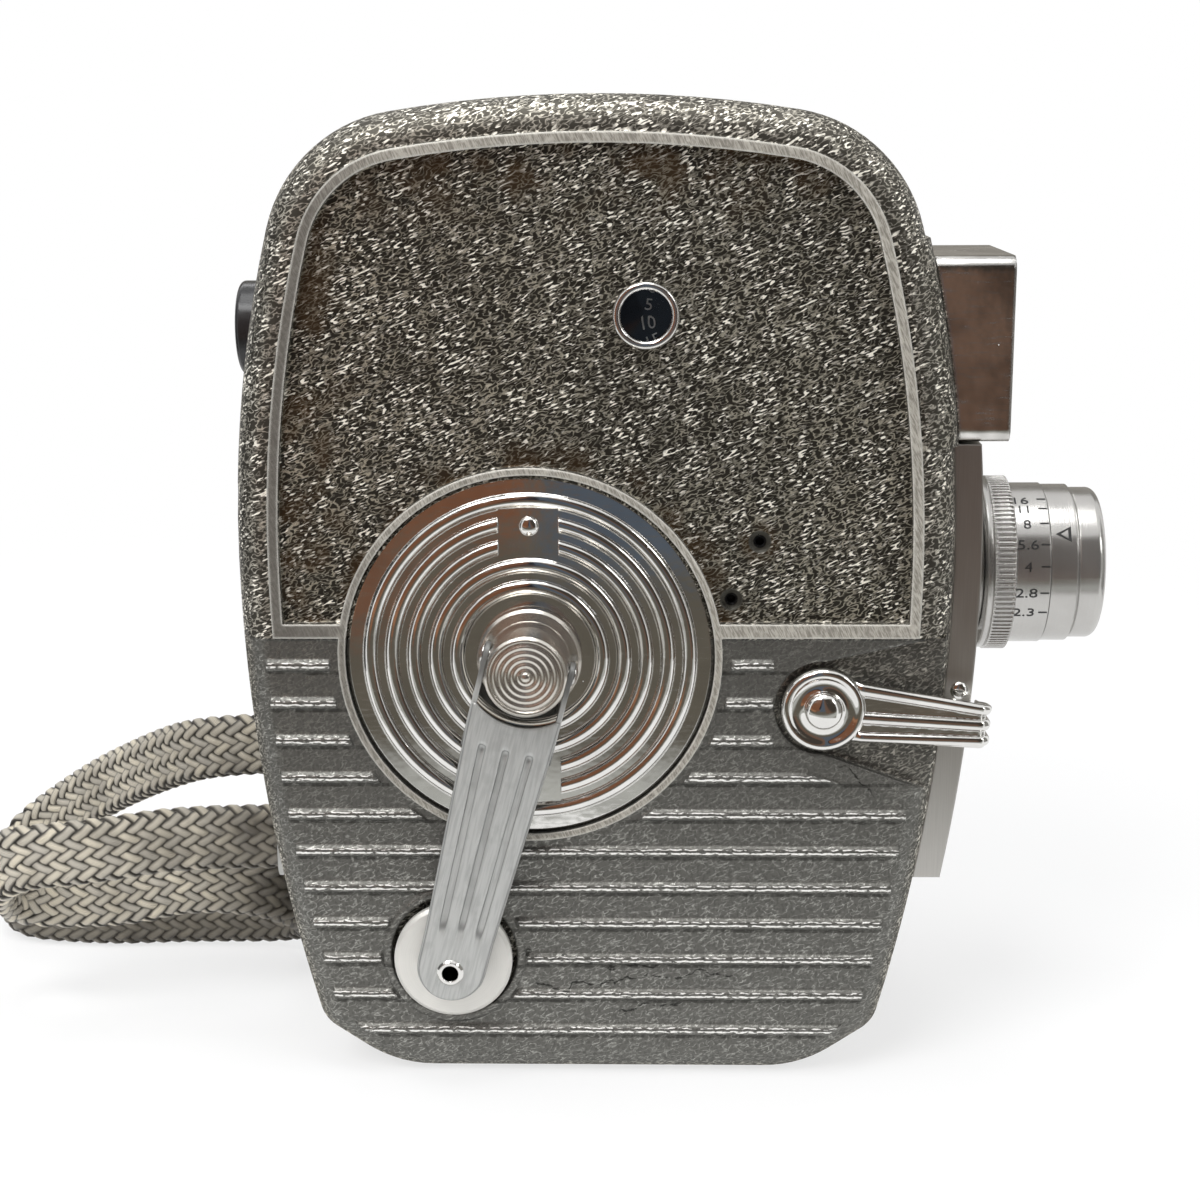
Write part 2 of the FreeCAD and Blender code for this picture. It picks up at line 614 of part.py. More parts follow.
def eyepiece_lens():
    return part(turned("eyepiece_lens", AT_FINDER, [
        ("0", "0-46.2"), ("0.3", "0-46.2"), ("4", "0-45.9", "2", "0-46.13"),
        ("4", "0-45.1"), ("0", "0-45.1")], "x"),
        "eyepiece_lens")


def finder_lens():
    return part(block("finder_lens", ("43.2", "finder_y-6.6", "finder_z-5.2"),
                      ("44.8", "finder_y+6.6", "finder_z+5.2")), "finder_lens")


def finder_hood():
    """A folded box, open at the front, that sits on the casting's ear."""
    def shell(name, edge, radius):
        bar = block(name + "_block", ("38", "hood_near+" + edge, "hood_low+" + edge),
                    ("hood_x", "hood_far-" + edge, "hood_high-" + edge))
        doc.recompute()
        round_bar = doc.addObject("Part::Fillet", name)
        round_bar.Base = bar
        round_bar.Edges = [(number, radius, radius)
                           for number, line in enumerate(bar.Shape.Edges, start=1)
                           if abs(line.Vertexes[0].X - line.Vertexes[1].X) > 1]
        return round_bar
    outer = shell("hood_outer", "0", 1.9)
    inner = shell("hood_inner", "0.8", 1.1)
    inner_cut = fuse("hood_room", inner, block("hood_mouth", ("hood_x-1", "hood_near+1.4",
                                                              "hood_low+1.4"),
                                               ("hood_x+1", "hood_far-1.4", "hood_high-1.4")))
    behind = body_prism("hood_seat", "0-0.6", "hood_near-5", "hood_far+5")
    return part(cut("finder_hood", outer, inner_cut, behind), "finder_hood")


# Front plate and lens
AT_LENS = ("0", "lens_y", "lens_z")


def front_plate():
    """A shallow pan that follows the body's front and carries the lens."""
    def pan(name, edge):
        return common(name, body_prism(name + "_skin", "0-front_offset+" + edge,
                                       "front_near+" + edge, "front_far-" + edge),
                      block(name + "_field", ("36", "-40", "front_low+" + edge),
                            ("60", "40", "front_high-" + edge)))
    tools = [pan("pan_inner", "1.1"), body_prism("pan_seat", "0", "front_near-1", "front_far+1"),
             cylinder("pan_hole", ("40", "lens_y", "lens_z"), "9.45", "15", "x"),
             cylinder("stud_holes", ("47.8", "front_near-1", "53.3"), "0.62", "40")]
    return part(cut("front_plate", pan("pan_outer", "0"), *tools), "front_plate")


def front_studs():
    near = domed("front_stud", ("47.8", "front_near", "53.3"), "1.2", "0.6", "0.6", "1")
    far = domed("front_stud", ("47.8", "front_far", "53.3"), "1.2", "0.6", "0.6", "1", "y")
    return group("front_studs", [near, far])


def lens_mount():
    return part(turned("lens_mount", AT_LENS, [
        ("7.95", "46.6"), ("9.4", "46.6"), ("9.4", "50.25"), ("10.6", "50.25"),
        ("10.6", "seat_x-0.2"), ("10.4", "seat_x"), ("7.95", "seat_x")], "x"), "lens_mount")


def lens_barrel():
    return part(turned("lens_barrel", AT_LENS, [
        ("5", "44.6"), ("7.9", "44.6"), ("7.9", "seat_x"), ("9.6", "seat_x"), ("9.6", "knurl_x-0.1"),
        ("8.6", "knurl_x-0.1"), ("8.6", "index_x+0.1"), ("11.1", "index_x+0.1"),
        ("11.1", "groove_x-0.2"), ("10.4", "groove_x"), ("nose_radius", "groove_x+0.3"),
        ("nose_radius", "nose_x-1.3"), ("nose_radius-1.2", "nose_x", "nose_radius-0.3", "nose_x-0.4"),
        ("8.8", "nose_x"), ("6.9", "nose_x-1.9"), ("6.4", "nose_x-1.9"), ("6.4", "nose_x-5"),
        ("5", "nose_x-5")], "x"), "lens_barrel")


def aperture_ring():
    return part(turned("aperture_ring", AT_LENS, [
        ("8.66", "knurl_x"), ("knurl_radius-0.4", "knurl_x"), ("knurl_radius", "knurl_x+0.4"),
        ("knurl_radius", "scale_x-0.4"), ("knurl_radius-0.5", "scale_x"),
        ("scale_radius", "scale_x"), ("scale_radius", "index_x"), ("8.66", "index_x")], "x"),
        "aperture_ring")


def front_lens():
    return part(turned("front_lens", AT_LENS, [
        ("0", "nose_x-5"), ("6.4", "nose_x-5"), ("6.4", "nose_x-3.9"),
        ("0.4", "nose_x-2.5", "3.3", "nose_x-2.85"), ("0", "nose_x-2.5")], "x"),
        "front_lens")


def rear_lens():
    return part(turned("rear_lens", AT_LENS, [
        ("0", "46.2"), ("0.3", "46.2"), ("5", "47", "2.6", "46.4"), ("5", "48.6"), ("0", "48.6")], "x"),
        "rear_lens")


def iris():
    return part(turned("iris", AT_LENS, [
        ("2", "58"), ("5", "58"), ("5", "58.4"), ("2", "58.4")], "x"), "iris")


# Film cover and its latch
def mirrored(name, solid):
    """The same form on the cover's side of the camera."""
    copy = doc.addObject("Part::Mirroring", name)
    copy.Source = solid
    copy.Base = Vector()
    copy.Normal = Vector(0, 1, 0)
    return copy


def latch_bar(name, radius, near, far):
    return cylinder(name, ("latch_x", near, "latch_z"), radius, "(%s)-(%s)" % (far, near))


def cover_trim():
    """A framed panel above and ribs below, as on the winding side, clear of the latch."""
    frame_edge = common("cover_bead_edge", body_prism("cover_edge", "bead_inset",
                                                      "face_y-bead_high", "face_y+1"),
                        block("cover_above", ("-60", "-40", "bead_low"), ("60", "0", "140")))
    window = common("cover_window", body_prism("cover_panel_edge", "panel_inset", "face_y-2",
                                               "face_y+2"),
                    block("cover_panel_above", ("-60", "-40", "panel_low"), ("60", "0", "140")))
    frame_bead = mirrored("cover_bead", cut("cover_bead_near", frame_edge, window))
    bars = [cylinder("cover_rib", ("-50", "face_y+0.4", "rib_first+rib_pitch*%d" % number),
                     "rib_radius", "100", "x") for number in range(11)]
    ribbed = mirrored("cover_ribs", common("cover_ribs_near", fuse("cover_rib_bars", *bars),
                                           body_prism("cover_rib_field", "rib_inset", "face_y-1",
                                                      "face_y+0.6")))
    return [cut("cover_trim", fuse("cover_trim_all", frame_bead, ribbed),
                latch_bar("trim_gap", "12.6", "cover_y-2", "cover_y+2"))]


def film_cover():
    skin = rounded("cover_skin", body_prism("cover_bulk", "0", "joint_y+seam", "cover_y"),
                   size("cover_y"), size("edge_round"))
    lip = body_prism("cover_lip", "wall+0.15", "joint_y-2", "joint_y+1")
    hollow = body_prism("cover_hollow", "wall+1.4", "joint_y-3", "cover_wall_y")
    shell = cut("cover_shell", fuse("cover_solid", skin, lip), hollow)
    panel = mirrored("cover_panel", common(
        "cover_panel_near", body_prism("cover_field", "panel_inset", "face_y-2", "face_y+0.6"),
        block("cover_panel_room", ("-60", "-40", "panel_low"), ("60", "0", "140"))))
    sunk = cut("cover_sunk_panel", panel, latch_bar("panel_keep", "12.2", "cover_y-3", "cover_y+3"))
    boss = latch_bar("latch_boss", "11.5", "21.6", "cover_wall_y+0.1")
    ring = latch_bar("latch_ring", "11.9", "cover_y-1", "cover_y+bead_high")
    solid = fuse("cover_raised", cut("cover_sunk", shell, sunk), boss, ring, *cover_trim())
    return part(cut("film_cover", solid, latch_bar("latch_dish", "10.5", "cover_y-2.1", "30"),
                    latch_bar("latch_bore", "3.05", "20", "30")), "film_cover")


def latch_knob():
    knob = turned("latch_disc", ("latch_x", "0", "latch_z"), [
        ("0", "21.5"), ("3", "21.5"), ("3", "cover_y-2.05"), ("9.6", "cover_y-2.05"),
        ("9.6", "24.3"), ("9.2", "24.6"), ("0", "24.6")])
    grip = block("latch_grip", ("latch_x-8.2", "24", "latch_z-1.7"),
                 ("latch_x+8.2", "cover_y+2.2", "latch_z+1.7"))
    lobes = common("latch_grip_round", grip, latch_bar("latch_lobe", "8.4", "23", "28"))
    return part(fuse("latch_knob", knob, lobes), "latch_knob")


def latch_rotor():
    """The plate on the knob's shaft, with a slot that passes the post's flattened head."""
    cup = turned("rotor_cup", ("latch_x", "0", "latch_z"), [
        ("0", "17.4"), ("8", "17.4"), ("8", "18.8"), ("5", "18.8"), ("5", "21.5"), ("0", "21.5")])
    room = latch_bar("rotor_room", "3.6", "18.8", "20.7")
    slot = common("rotor_slot", latch_bar("rotor_round", "3.6", "17", "19"),
                  block("rotor_flats", ("latch_x-5", "16", "latch_z-2.3"),
                        ("latch_x+5", "20", "latch_z+2.3")))
    return part(cut("latch_rotor", cup, room, slot), "latch_rotor")


def latch_post():
    post = turned("post_turned", ("latch_x", "0", "latch_z"), [
        ("0", "plate_high"), ("4", "plate_high"), ("4", "16.6"), ("3.6", "17"), ("2", "17"),
        ("2", "19"), ("3.2", "19"), ("3.2", "20.2"), ("2.9", "20.5"), ("0", "20.5")])
    flats = [block("post_flat", ("latch_x-5", "18.9", "latch_z+2"), ("latch_x+5", "21", "latch_z+6")),
             block("post_flat_low", ("latch_x-5", "18.9", "latch_z-6"),
                   ("latch_x+5", "21", "latch_z-2"))]
    return part(cut("latch_post", post, *flats), "latch_post")


# Film chamber
def mechanism_plate():
    sheet = common("plate_sheet", body_prism("plate_outline", "wall+0.2", "plate_low", "plate_high"),
                   block("plate_field", ("-60", "-10", "0"), ("plate_front", "10", "140")))
    holes = [cylinder("plate_screw_hole", (x, "plate_low-1", z), "0.95", "4")
             for x, z in PLATE_POSTS]
    for x, z in (("hub_x", "hub_z"), ("spool_x", "takeup_z"), ("spool_x", "supply_z")):
        holes.append(cylinder("plate_bearing", (x, "plate_low-1", z), "1.55", "4"))
    holes.append(block("plate_socket_gap", ("-9.2", "-5", "0"), ("9.2", "5", "9.2")))
    return part(cut("mechanism_plate", sheet, *holes), "mechanism_plate")


def plate_screws():
    return group("plate_screws", [domed("plate_screw", (x, "plate_high", z), "1.9", "1", "0.9",
                                        "6", "y") for x, z in PLATE_POSTS])


def spindle(name, z, foot):
    """A spool spindle with a flange, a round nose and three drive ribs."""
    bar = turned(name + "_bar", ("spool_x", "0", z), foot + [
        ("1.5", "plate_high+0.1"), ("6.5", "plate_high+0.1"), ("6.5", "plate_high+0.9"),
        ("3.2", "plate_high+0.9"), ("3.2", "16.4"), ("0.5", "18", "2.4", "17.5"), ("0", "18")])
    bar_ribs = []
    for number in range(3):
        angle = 2 * math.pi * number / 3
        bar_ribs.append(cylinder(name + "_rib", (
            "spool_x%+.3f" % (3.0 * math.sin(angle)), "plate_high+0.9",
            z + "%+.3f" % (3.0 * math.cos(angle))), "0.8", "11"))
    return part(fuse(name, bar, *bar_ribs), name)


def supply_spindle():
    return spindle("supply_spindle", "supply_z", [
        ("0", "plate_low-1.1"), ("2.4", "plate_low-1.1"), ("2.4", "plate_low-0.1"),
        ("1.5", "plate_low-0.1")])


def takeup_spindle():
    return spindle("takeup_spindle", "takeup_z", [
        ("0", "wall_y-1.4"), ("0.8", "wall_y-1.4"), ("0.8", "wall_y+0.1"), ("1.5", "wall_y+0.1")])


# Spring motor and gears
def gear_outline(centre, teeth, phase):
    """Teeth about centre in the (x, z) plane: each flank bends like the involute it stands for."""
    module = size("gear_module")
    pressure = math.radians(25)
    pitch_radius = module * teeth / 2
    base_radius = pitch_radius * math.cos(pressure)
    tip_radius = pitch_radius + 0.9 * module
    root_radius = pitch_radius - 1.15 * module

    def spread(radius):
        angle = math.acos(base_radius / radius)
        return math.tan(angle) - angle

    half = math.pi / (2 * teeth) - 0.06 / pitch_radius + spread(pitch_radius)
    start = max(base_radius, root_radius) + 0.001
    middle = (start + tip_radius) / 2

    def at(radius, angle):
        return Vector(centre[0] + radius * math.cos(angle), 0, centre[1] + radius * math.sin(angle))

    edges = []
    step = 2 * math.pi / teeth
    for number in range(teeth):
        axis = phase + step * number
        low = half - spread(start)
        rise = [at(start, axis - low), at(middle, axis - half + spread(middle)),
                at(tip_radius, axis - half + spread(tip_radius))]
        fall = [at(tip_radius, axis + half - spread(tip_radius)),
                at(middle, axis + half - spread(middle)), at(start, axis + low)]
        foot = at(root_radius, axis - low)
        end = at(root_radius, axis + low)
        following = at(root_radius, axis + step - low)
        if start > root_radius + 0.01:
            edges.append(Part.LineSegment(foot, rise[0]).toShape())
        edges.append(Part.Arc(*rise).toShape())
        edges.append(Part.LineSegment(rise[2], fall[0]).toShape())
        edges.append(Part.Arc(*fall).toShape())
        if start > root_radius + 0.01:
            edges.append(Part.LineSegment(fall[2], end).toShape())
            edges.append(Part.LineSegment(end, following).toShape())
        else:
            edges.append(Part.LineSegment(fall[2], at(start, axis + step - low)).toShape())
    return Part.Wire(edges)


def gear(name, centre, teeth, phase, low, high, bore):
    """A spur gear from y = low to y = high with a plain bore."""
    face = doc.addObject("Part::Feature", name + "_outline")
    face.Shape = Part.Face(gear_outline([size(word) for word in centre], teeth, phase))
    face.Placement = Placement(Vector(0, size(low), 0), Rotation())
    prism = doc.addObject("Part::Extrusion", name + "_blank")
    prism.Base = face
    prism.DirMode = "Custom"
    prism.Dir = Vector(0, 1, 0)
    prism.Solid = True
    bind(prism, "LengthFwd", "(%s)-(%s)" % (high, low))
    return part(cut(name, prism, cylinder(name + "_bore", (centre[0], low + "-1", centre[1]), bore,
                                          "6")), name)


BARREL = ("hub_x", "hub_z")
TAKEUP = ("spool_x", "takeup_z")
DRIVE = ("drive_x", "lens_z")


def meshed(centre, teeth, far_centre, far_teeth):
    """The far gear's phase, with its gap over the near gear's tooth where they meet."""
    run = size(far_centre[0]) - size(centre[0])
    rise = size(far_centre[1]) - size(centre[1])
    line = math.atan2(rise, run)
    ahead = line * teeth / (2 * math.pi) % 1
    return line + math.pi + (ahead + 0.5) * 2 * math.pi / far_teeth


def barrel_gear():
    return gear("barrel_gear", BARREL, int(size("barrel_teeth")), 0, "gear_low", "gear_high",
                "arbor_radius+0.05")


def takeup_pinion():
    phase = meshed(BARREL, size("barrel_teeth"), TAKEUP, size("takeup_teeth"))
    return gear("takeup_pinion", TAKEUP, int(size("takeup_teeth")), phase, "gear_low-0.3",
                "gear_high+0.3", "1.5")


def drive_pinion():
    phase = meshed(BARREL, size("barrel_teeth"), DRIVE, size("drive_teeth"))
    return gear("drive_pinion", DRIVE, int(size("drive_teeth")), phase, "gear_low-0.3",
                "gear_high", "1.2")


def mainspring_barrel():
    return part(turned("mainspring_barrel", ("hub_x", "0", "hub_z"), [
        ("arbor_radius+0.05", "0-20"), ("19.6", "0-20"), ("20", "0-19.6"), ("20", "gear_low"),
        ("arbor_radius+0.05", "gear_low"), ("arbor_radius+0.05", "gear_low-0.8"),
        ("19.2", "gear_low-0.8"), ("19.2", "0-19.2"), ("arbor_radius+0.05", "0-19.2")]),
        "mainspring_barrel")


def mainspring():
    """Six turns of ribbon inside the barrel, as half circles that step outward."""
    inner = []
    outer = []
    radius = 9.0
    side = 1
    offset = 0.0
    for number in range(12):
        for path, extra in ((inner, 0.0), (outer, 0.5)):
            reach = radius + extra
            path.append((Vector(offset + side * reach, 0, 0), Vector(offset, 0, side * reach),
                         Vector(offset - side * reach, 0, 0)))
        offset += side * 0.4
        radius += 0.4
        side = -side
    edges = [Part.Arc(*points).toShape() for points in inner + outer]
    edges.append(Part.LineSegment(inner[0][0], outer[0][0]).toShape())
    edges.append(Part.LineSegment(inner[-1][2], outer[-1][2]).toShape())
    face = doc.addObject("Part::Feature", "mainspring_edge")
    face.Shape = Part.Face(Part.Wire(Part.__sortEdges__(edges)))
    face.Placement = Placement(Vector(size("hub_x"), -19.2, size("hub_z")), Rotation())
    ribbon = doc.addObject("Part::Extrusion", "mainspring")
    ribbon.Base = face
    ribbon.DirMode = "Custom"
    ribbon.Dir = Vector(0, 1, 0)
    ribbon.Solid = True
    bind(ribbon, "LengthFwd", "8.4")
    return part(ribbon, "mainspring")


def winding_arbor():
    return part(turned("winding_arbor", ("hub_x", "0", "hub_z"), [
        ("0", "face_y-0.2"), ("arbor_radius", "face_y-0.2"), ("arbor_radius", "gear_high+0.3"),
        ("1.5", "gear_high+0.3"), ("1.5", "plate_high"), ("0", "plate_high")]), "winding_arbor")


def click_spring():
    """The wrap spring that stops the arbor from turning back, as closed rings."""
    rings = []
    for y in ("wall_y+0.35", "wall_y+0.9", "wall_y+1.45"):
        ring = doc.addObject("Part::Torus", "click_ring")
        bind(ring, "Radius1", "arbor_radius+0.45")
        bind(ring, "Radius2", "0.35")
        ring.Placement = Placement(Vector(), ALONG["y"])
        bind_place(ring, ("hub_x", y, "hub_z"))
        rings.append(ring)
    return part(fuse("click_spring", *rings), "click_spring")


def drive_shaft():
    return part(turned("drive_shaft", ("drive_x", "0", "lens_z"), [
        ("0", "wall_y-1.4"), ("0.8", "wall_y-1.4"), ("0.8", "wall_y+0.1"), ("1.2", "wall_y+0.1"),
        ("1.2", "crown_y"), ("0", "crown_y")]), "drive_shaft")


def crown_wheel():
    return part(turned("crown_wheel", ("drive_x", "0", "lens_z"), [
        ("1.2", "gear_high+0.1"), ("7.6", "gear_high+0.1"), ("8", "gear_high+0.3"),
        ("8", "crown_y"), ("4.4", "crown_y"), ("4.2", "crown_y-0.2"), ("1.2", "crown_y-0.2")]),
        "crown_wheel")


def governor():
    return part(turned("governor", ("drive_x", "0", "lens_z"), [
        ("1.2", "0-20.6"), ("2.6", "0-20.6"), ("2.6", "0-18"), ("5.4", "0-17.2"),
        ("5.4", "0-15"), ("2.6", "0-14.2"), ("2.6", "0-12.6"), ("5.2", "0-12.6"),
        ("5.2", "0-11.6"), ("1.2", "0-11.6")]), "governor")


AT_SHUTTER = ("0", "shutter_y", "lens_z")


def shutter_shaft():
    return part(turned("shutter_shaft", AT_SHUTTER, [
        ("0", "19.6"), ("1.2", "19.6"), ("1.2", "21.4"), ("pinion_radius", "21.4"),
        ("pinion_radius", "24.2"), ("1.2", "24.2"), ("1.2", "42.3"), ("0", "42.6")], "x"),
        "shutter_shaft")


def shutter_disc():
    """A disc with an open sector; at rest it covers the film gate."""
    blade = doc.addObject("Part::Cylinder", "shutter_blade")
    bind(blade, "Radius", "12.5")
    bind(blade, "Height", "0.5")
    blade.Angle = 210
    blade.Placement = Placement(Vector(), ALONG["x"])
    bind_place(blade, ("41.3", "shutter_y", "lens_z"))
    hub = cylinder("shutter_hub", ("41.3", "shutter_y", "lens_z"), "3.4", "0.5", "x")
    bore = cylinder("shutter_bore", ("41", "shutter_y", "lens_z"), "1.2", "1", "x")
    return part(cut("shutter_disc", fuse("shutter_blank", blade, hub), bore), "shutter_disc")


def shutter_bearing():
    bar = block("bearing_block", ("26", "shutter_y-2", "lens_z-3.2"),
                ("36.5", "plate_low", "lens_z+3.2"))
    gap = block("bearing_gap", ("28.5", "shutter_y-3", "lens_z-4"),
                ("34", "shutter_y+1.6", "lens_z+4"))
    bore = cylinder("bearing_bore", ("25", "shutter_y", "lens_z"), "1.25", "13", "x")
    return part(cut("shutter_bearing", bar, gap, bore), "shutter_bearing")


# Film gate, pressure plate and claw
def film_gate():
    wall = block("gate_wall", ("film_x", "0-2.8", "lens_z-13"), ("film_x+1.5", "17.6", "lens_z+13"))
    foot = block("gate_foot", ("34.6", "plate_high", "lens_z-15"),
                 ("film_x+1.5", "plate_high+0.5", "lens_z+15"))
    tools = [block("gate_window", ("film_x-1", "lens_y-2.4", "lens_z-1.8"),
                   ("film_x+3", "lens_y+2.4", "lens_z+1.8")),
             block("gate_slot", ("film_x-1", "1.3", "lens_z-4"), ("film_x+3", "2.3", "lens_z+4"))]
    return part(cut("film_gate", fuse("gate_blank", wall, foot), *tools), "film_gate")


PRESSURE_PINS = ("lens_z-7", "lens_z+7")


def pressure_plate():
    face = block("pressure_face", ("film_x-1.5", "1.3", "lens_z-10"),
                 ("film_x-0.2", "17", "lens_z+10"))
    pins = [cylinder("pressure_pin", ("31", "9", z), "0.8", "6.5", "x") for z in PRESSURE_PINS]
    slot = block("pressure_slot", ("film_x-3", "1.2", "lens_z-4.5"),
                 ("film_x+1", "2.5", "lens_z+4.5"))
    return part(cut("pressure_plate", fuse("pressure_blank", face, *pins), slot), "pressure_plate")


def pressure_bracket():
    wall = block("bracket_wall", ("32", "plate_high", "lens_z-10"), ("34", "12", "lens_z+10"))
    foot = block("bracket_foot", ("28", "plate_high", "lens_z-8"), ("34", "1.5", "lens_z+8"))
    bores = [cylinder("bracket_bore", ("30", "9", z), "0.85", "6", "x") for z in PRESSURE_PINS]
    return part(cut("pressure_bracket", fuse("bracket_blank", wall, foot), *bores),
                "pressure_bracket")


def pressure_spring():
    """A bowed leaf between the bracket and the pressure plate."""
    outer = cylinder("leaf_outer", ("42", "4", "lens_z"), "8", "3.5")
    inner = cylinder("leaf_inner", ("42", "3", "lens_z"), "7.75", "6")
    reach = block("leaf_reach", ("33", "3", "lens_z-8"), ("36.1", "9", "lens_z+8"))
    return part(common("pressure_spring", cut("leaf_round", outer, inner), reach),
                "pressure_spring")


CLAW_PINS = ("lens_z-8.5", "lens_z+8.5")


def claw():
    """The bar that pulls the film down by one frame, with its tooth through the gate's slot."""
    near = "film_x+1.65"
    far = "film_x+2.15"
    bar = block("claw_bar", (near, "0-2.7", "lens_z-12.5"), (far, "0-0.9", "lens_z+12.5"))
    finger = block("claw_finger", (near, "0-1", "lens_z-0.8"), (far, "2.2", "lens_z+0.8"))
    tooth = block("claw_tooth", ("film_x-0.5", "1.5", "lens_z-0.5"), (far, "2.1", "lens_z+0.5"))
    slots = [block("claw_slot", ("film_x+1", "0-2.25", z + "-2.35"),
                   ("film_x+3", "0-1.35", z + "+2.35")) for z in CLAW_PINS]
    return part(cut("claw", fuse("claw_blank", bar, finger, tooth), *slots), "claw")


def claw_pins():
    return group("claw_pins", [turned("claw_pin", ("0", "0-1.8", z), [
        ("0", "film_x+1.5"), ("0.4", "film_x+1.5"), ("0.4", "film_x+2.25"), ("0.8", "film_x+2.25"),
        ("0.8", "film_x+2.45"), ("0", "film_x+2.45")], "x") for z in CLAW_PINS])


# Base and wrist strap
def tripod_bush():
    """Six-sided outside, so that a tight tripod screw can't turn it in the casting."""
    core = turned("bush_core", ("0", "0", "0"), [
        ("3.6", "0"), ("7", "0"), ("7", "9.2"), ("0", "9.2"), ("0", "8"), ("3.175", "8"),
        ("3.175", "0.4")], "z")
    return part(common("tripod_bush", core, six_sided("bush_sides", "0-1", "10")), "tripod_bush")


def strap_ferrules():
    return group("strap_ferrules", [strap_slot("strap_ferrule", y, z, near, "0-41.5")
                                    for near, y, z in STRAP_ENDS])


# The middle line of the strap: out of the upper ferrule, round, along the ground, and back
STRAP_ROUTE = (
    (-46.05, 8.0, 36.8), (-57.5, 8.0, 36.8), (-69.0, 18.0, 30.8), (-83.0, 30.5, 21.4),
    (-97.0, 36.5, 10.2), (-96.2, 22.0, 5.2), (-80.0, 19.4, 4.8), (-66.0, 20.6, 4.9),
    (-46.6, 19.6, 5.4), (-46.0, 3.8, 15.6), (-61.0, 2.2, 17.5), (-70.0, 1.4, 15.2),
    (-86.5, 2.6, 14.4), (-85.2, -13.6, 26.4), (-70.0, -14.8, 28.2), (-58.0, -10.0, 28.8),
    (-44.95, -10.0, 28.8),
)


def tube_path(route):
    """Straight runs joined by arcs that touch them, each as large as its two runs allow."""
    points = [Vector(*point) for point in route]
    edges = []
    here = points[0]
    for before, corner, after in zip(points, points[1:], points[2:]):
        back = before - corner
        ahead = after - corner
        reach = 0.45 * min(back.Length, ahead.Length)
        turn = math.pi - back.getAngle(ahead)
        radius = reach / math.tan(turn / 2)
        start = corner + back.normalize() * reach
        end = corner + ahead.normalize() * reach
        inward = (back + ahead).normalize()
        middle = corner + inward * (math.hypot(radius, reach) - radius)
        edges.append(Part.LineSegment(here, start).toShape())
        edges.append(Part.Arc(start, middle, end).toShape())
        print("strap turn %3.0f degrees, radius %5.1f mm" % (math.degrees(turn), radius))
        here = end
    edges.append(Part.LineSegment(here, points[-1]).toShape())
    return Part.Wire(edges)


def wrist_strap():
    """The braided strap as a plain tube with the flat braid's section area."""
    path = tube_path(STRAP_ROUTE)
    radius = size("strap_tube")
    first = Vector(*STRAP_ROUTE[0])
    ring = Part.Wire(Part.Circle(first, Vector(*STRAP_ROUTE[1]) - first, radius).toShape())
    tube = doc.addObject("Part::Feature", "wrist_strap")
    tube.Shape = path.makePipeShell([ring], True, False)
    print("strap length %.1f mm, volume %.0f of %.0f mm3"
          % (path.Length, tube.Shape.Volume, path.Length * math.pi * radius ** 2))
    return part(tube, "wrist_strap")


# Check every object, then write the parts
def write_parts():
    doc.recompute()
    for thing in doc.Objects:
        if "Invalid" in thing.State or "Error" in thing.State:
            raise RuntimeError("%s failed: %s" % (thing.Label, thing.State))
    os.makedirs("parts", exist_ok=True)
    for solid in PARTS:
        shape = solid.Shape
        if shape.isNull() or not shape.isValid() or not shape.Solids:
            raise RuntimeError("%s has no valid solid" % solid.Label)
        box = shape.optimalBoundingBox()
        print("%-18s solids %d faces %3d volume %8.1f  x %5.1f %5.1f  y %5.1f %5.1f  z %5.1f %5.1f"
              % (solid.Label, len(shape.Solids), len(shape.Faces), shape.Volume, box.XMin,
                 box.XMax, box.YMin, box.YMax, box.ZMin, box.ZMax))
        shape.exportStep("parts/%s.step" % solid.Label)


for make in (
        main_casting, film_cover, latch_knob, latch_rotor, latch_post, winding_disc, disc_screws,
        winding_hub, hinge_pins, crank_arm, crank_rivet, crank_knob, winding_arbor, click_spring,
        mainspring_barrel, mainspring, barrel_gear, takeup_pinion, drive_pinion, drive_shaft,
        crown_wheel, governor, shutter_shaft, shutter_disc, shutter_bearing, mechanism_plate,
        plate_screws, supply_spindle, takeup_spindle, film_gate, pressure_plate,
        pressure_bracket, pressure_spring, claw, claw_pins, start_lever, lever_spindle, brake_arm,
        counter_bezel, counter_glass, counter_dial, counter_stud, finder_tube, eyepiece,
        eyepiece_lens, finder_lens, finder_hood, front_plate, front_studs, lens_mount,
        lens_barrel, aperture_ring, front_lens, rear_lens, iris, tripod_bush, strap_ferrules,
        wrist_strap):
    make()
write_parts()
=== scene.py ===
# %% [markdown]
# A spring-wound movie camera from the middle of the last century. A die-cast body with a
# wrinkle enamel carries a chrome winding disc with a folding crank, a ridged start lever, a
# small fixed lens, a box finder and a braided wrist strap. The moving pieces come packed as a
# fixed frame, and this lesson dresses them: new surfaces where the frame is too plain, and a
# finish of its own for every piece. Places are in millimetres, and six axes that pieces turn
# about are named at the start.

# %% Load the frame
import json
import math
import bmesh
import bpy
import numpy as np
from mathutils import Matrix, Vector


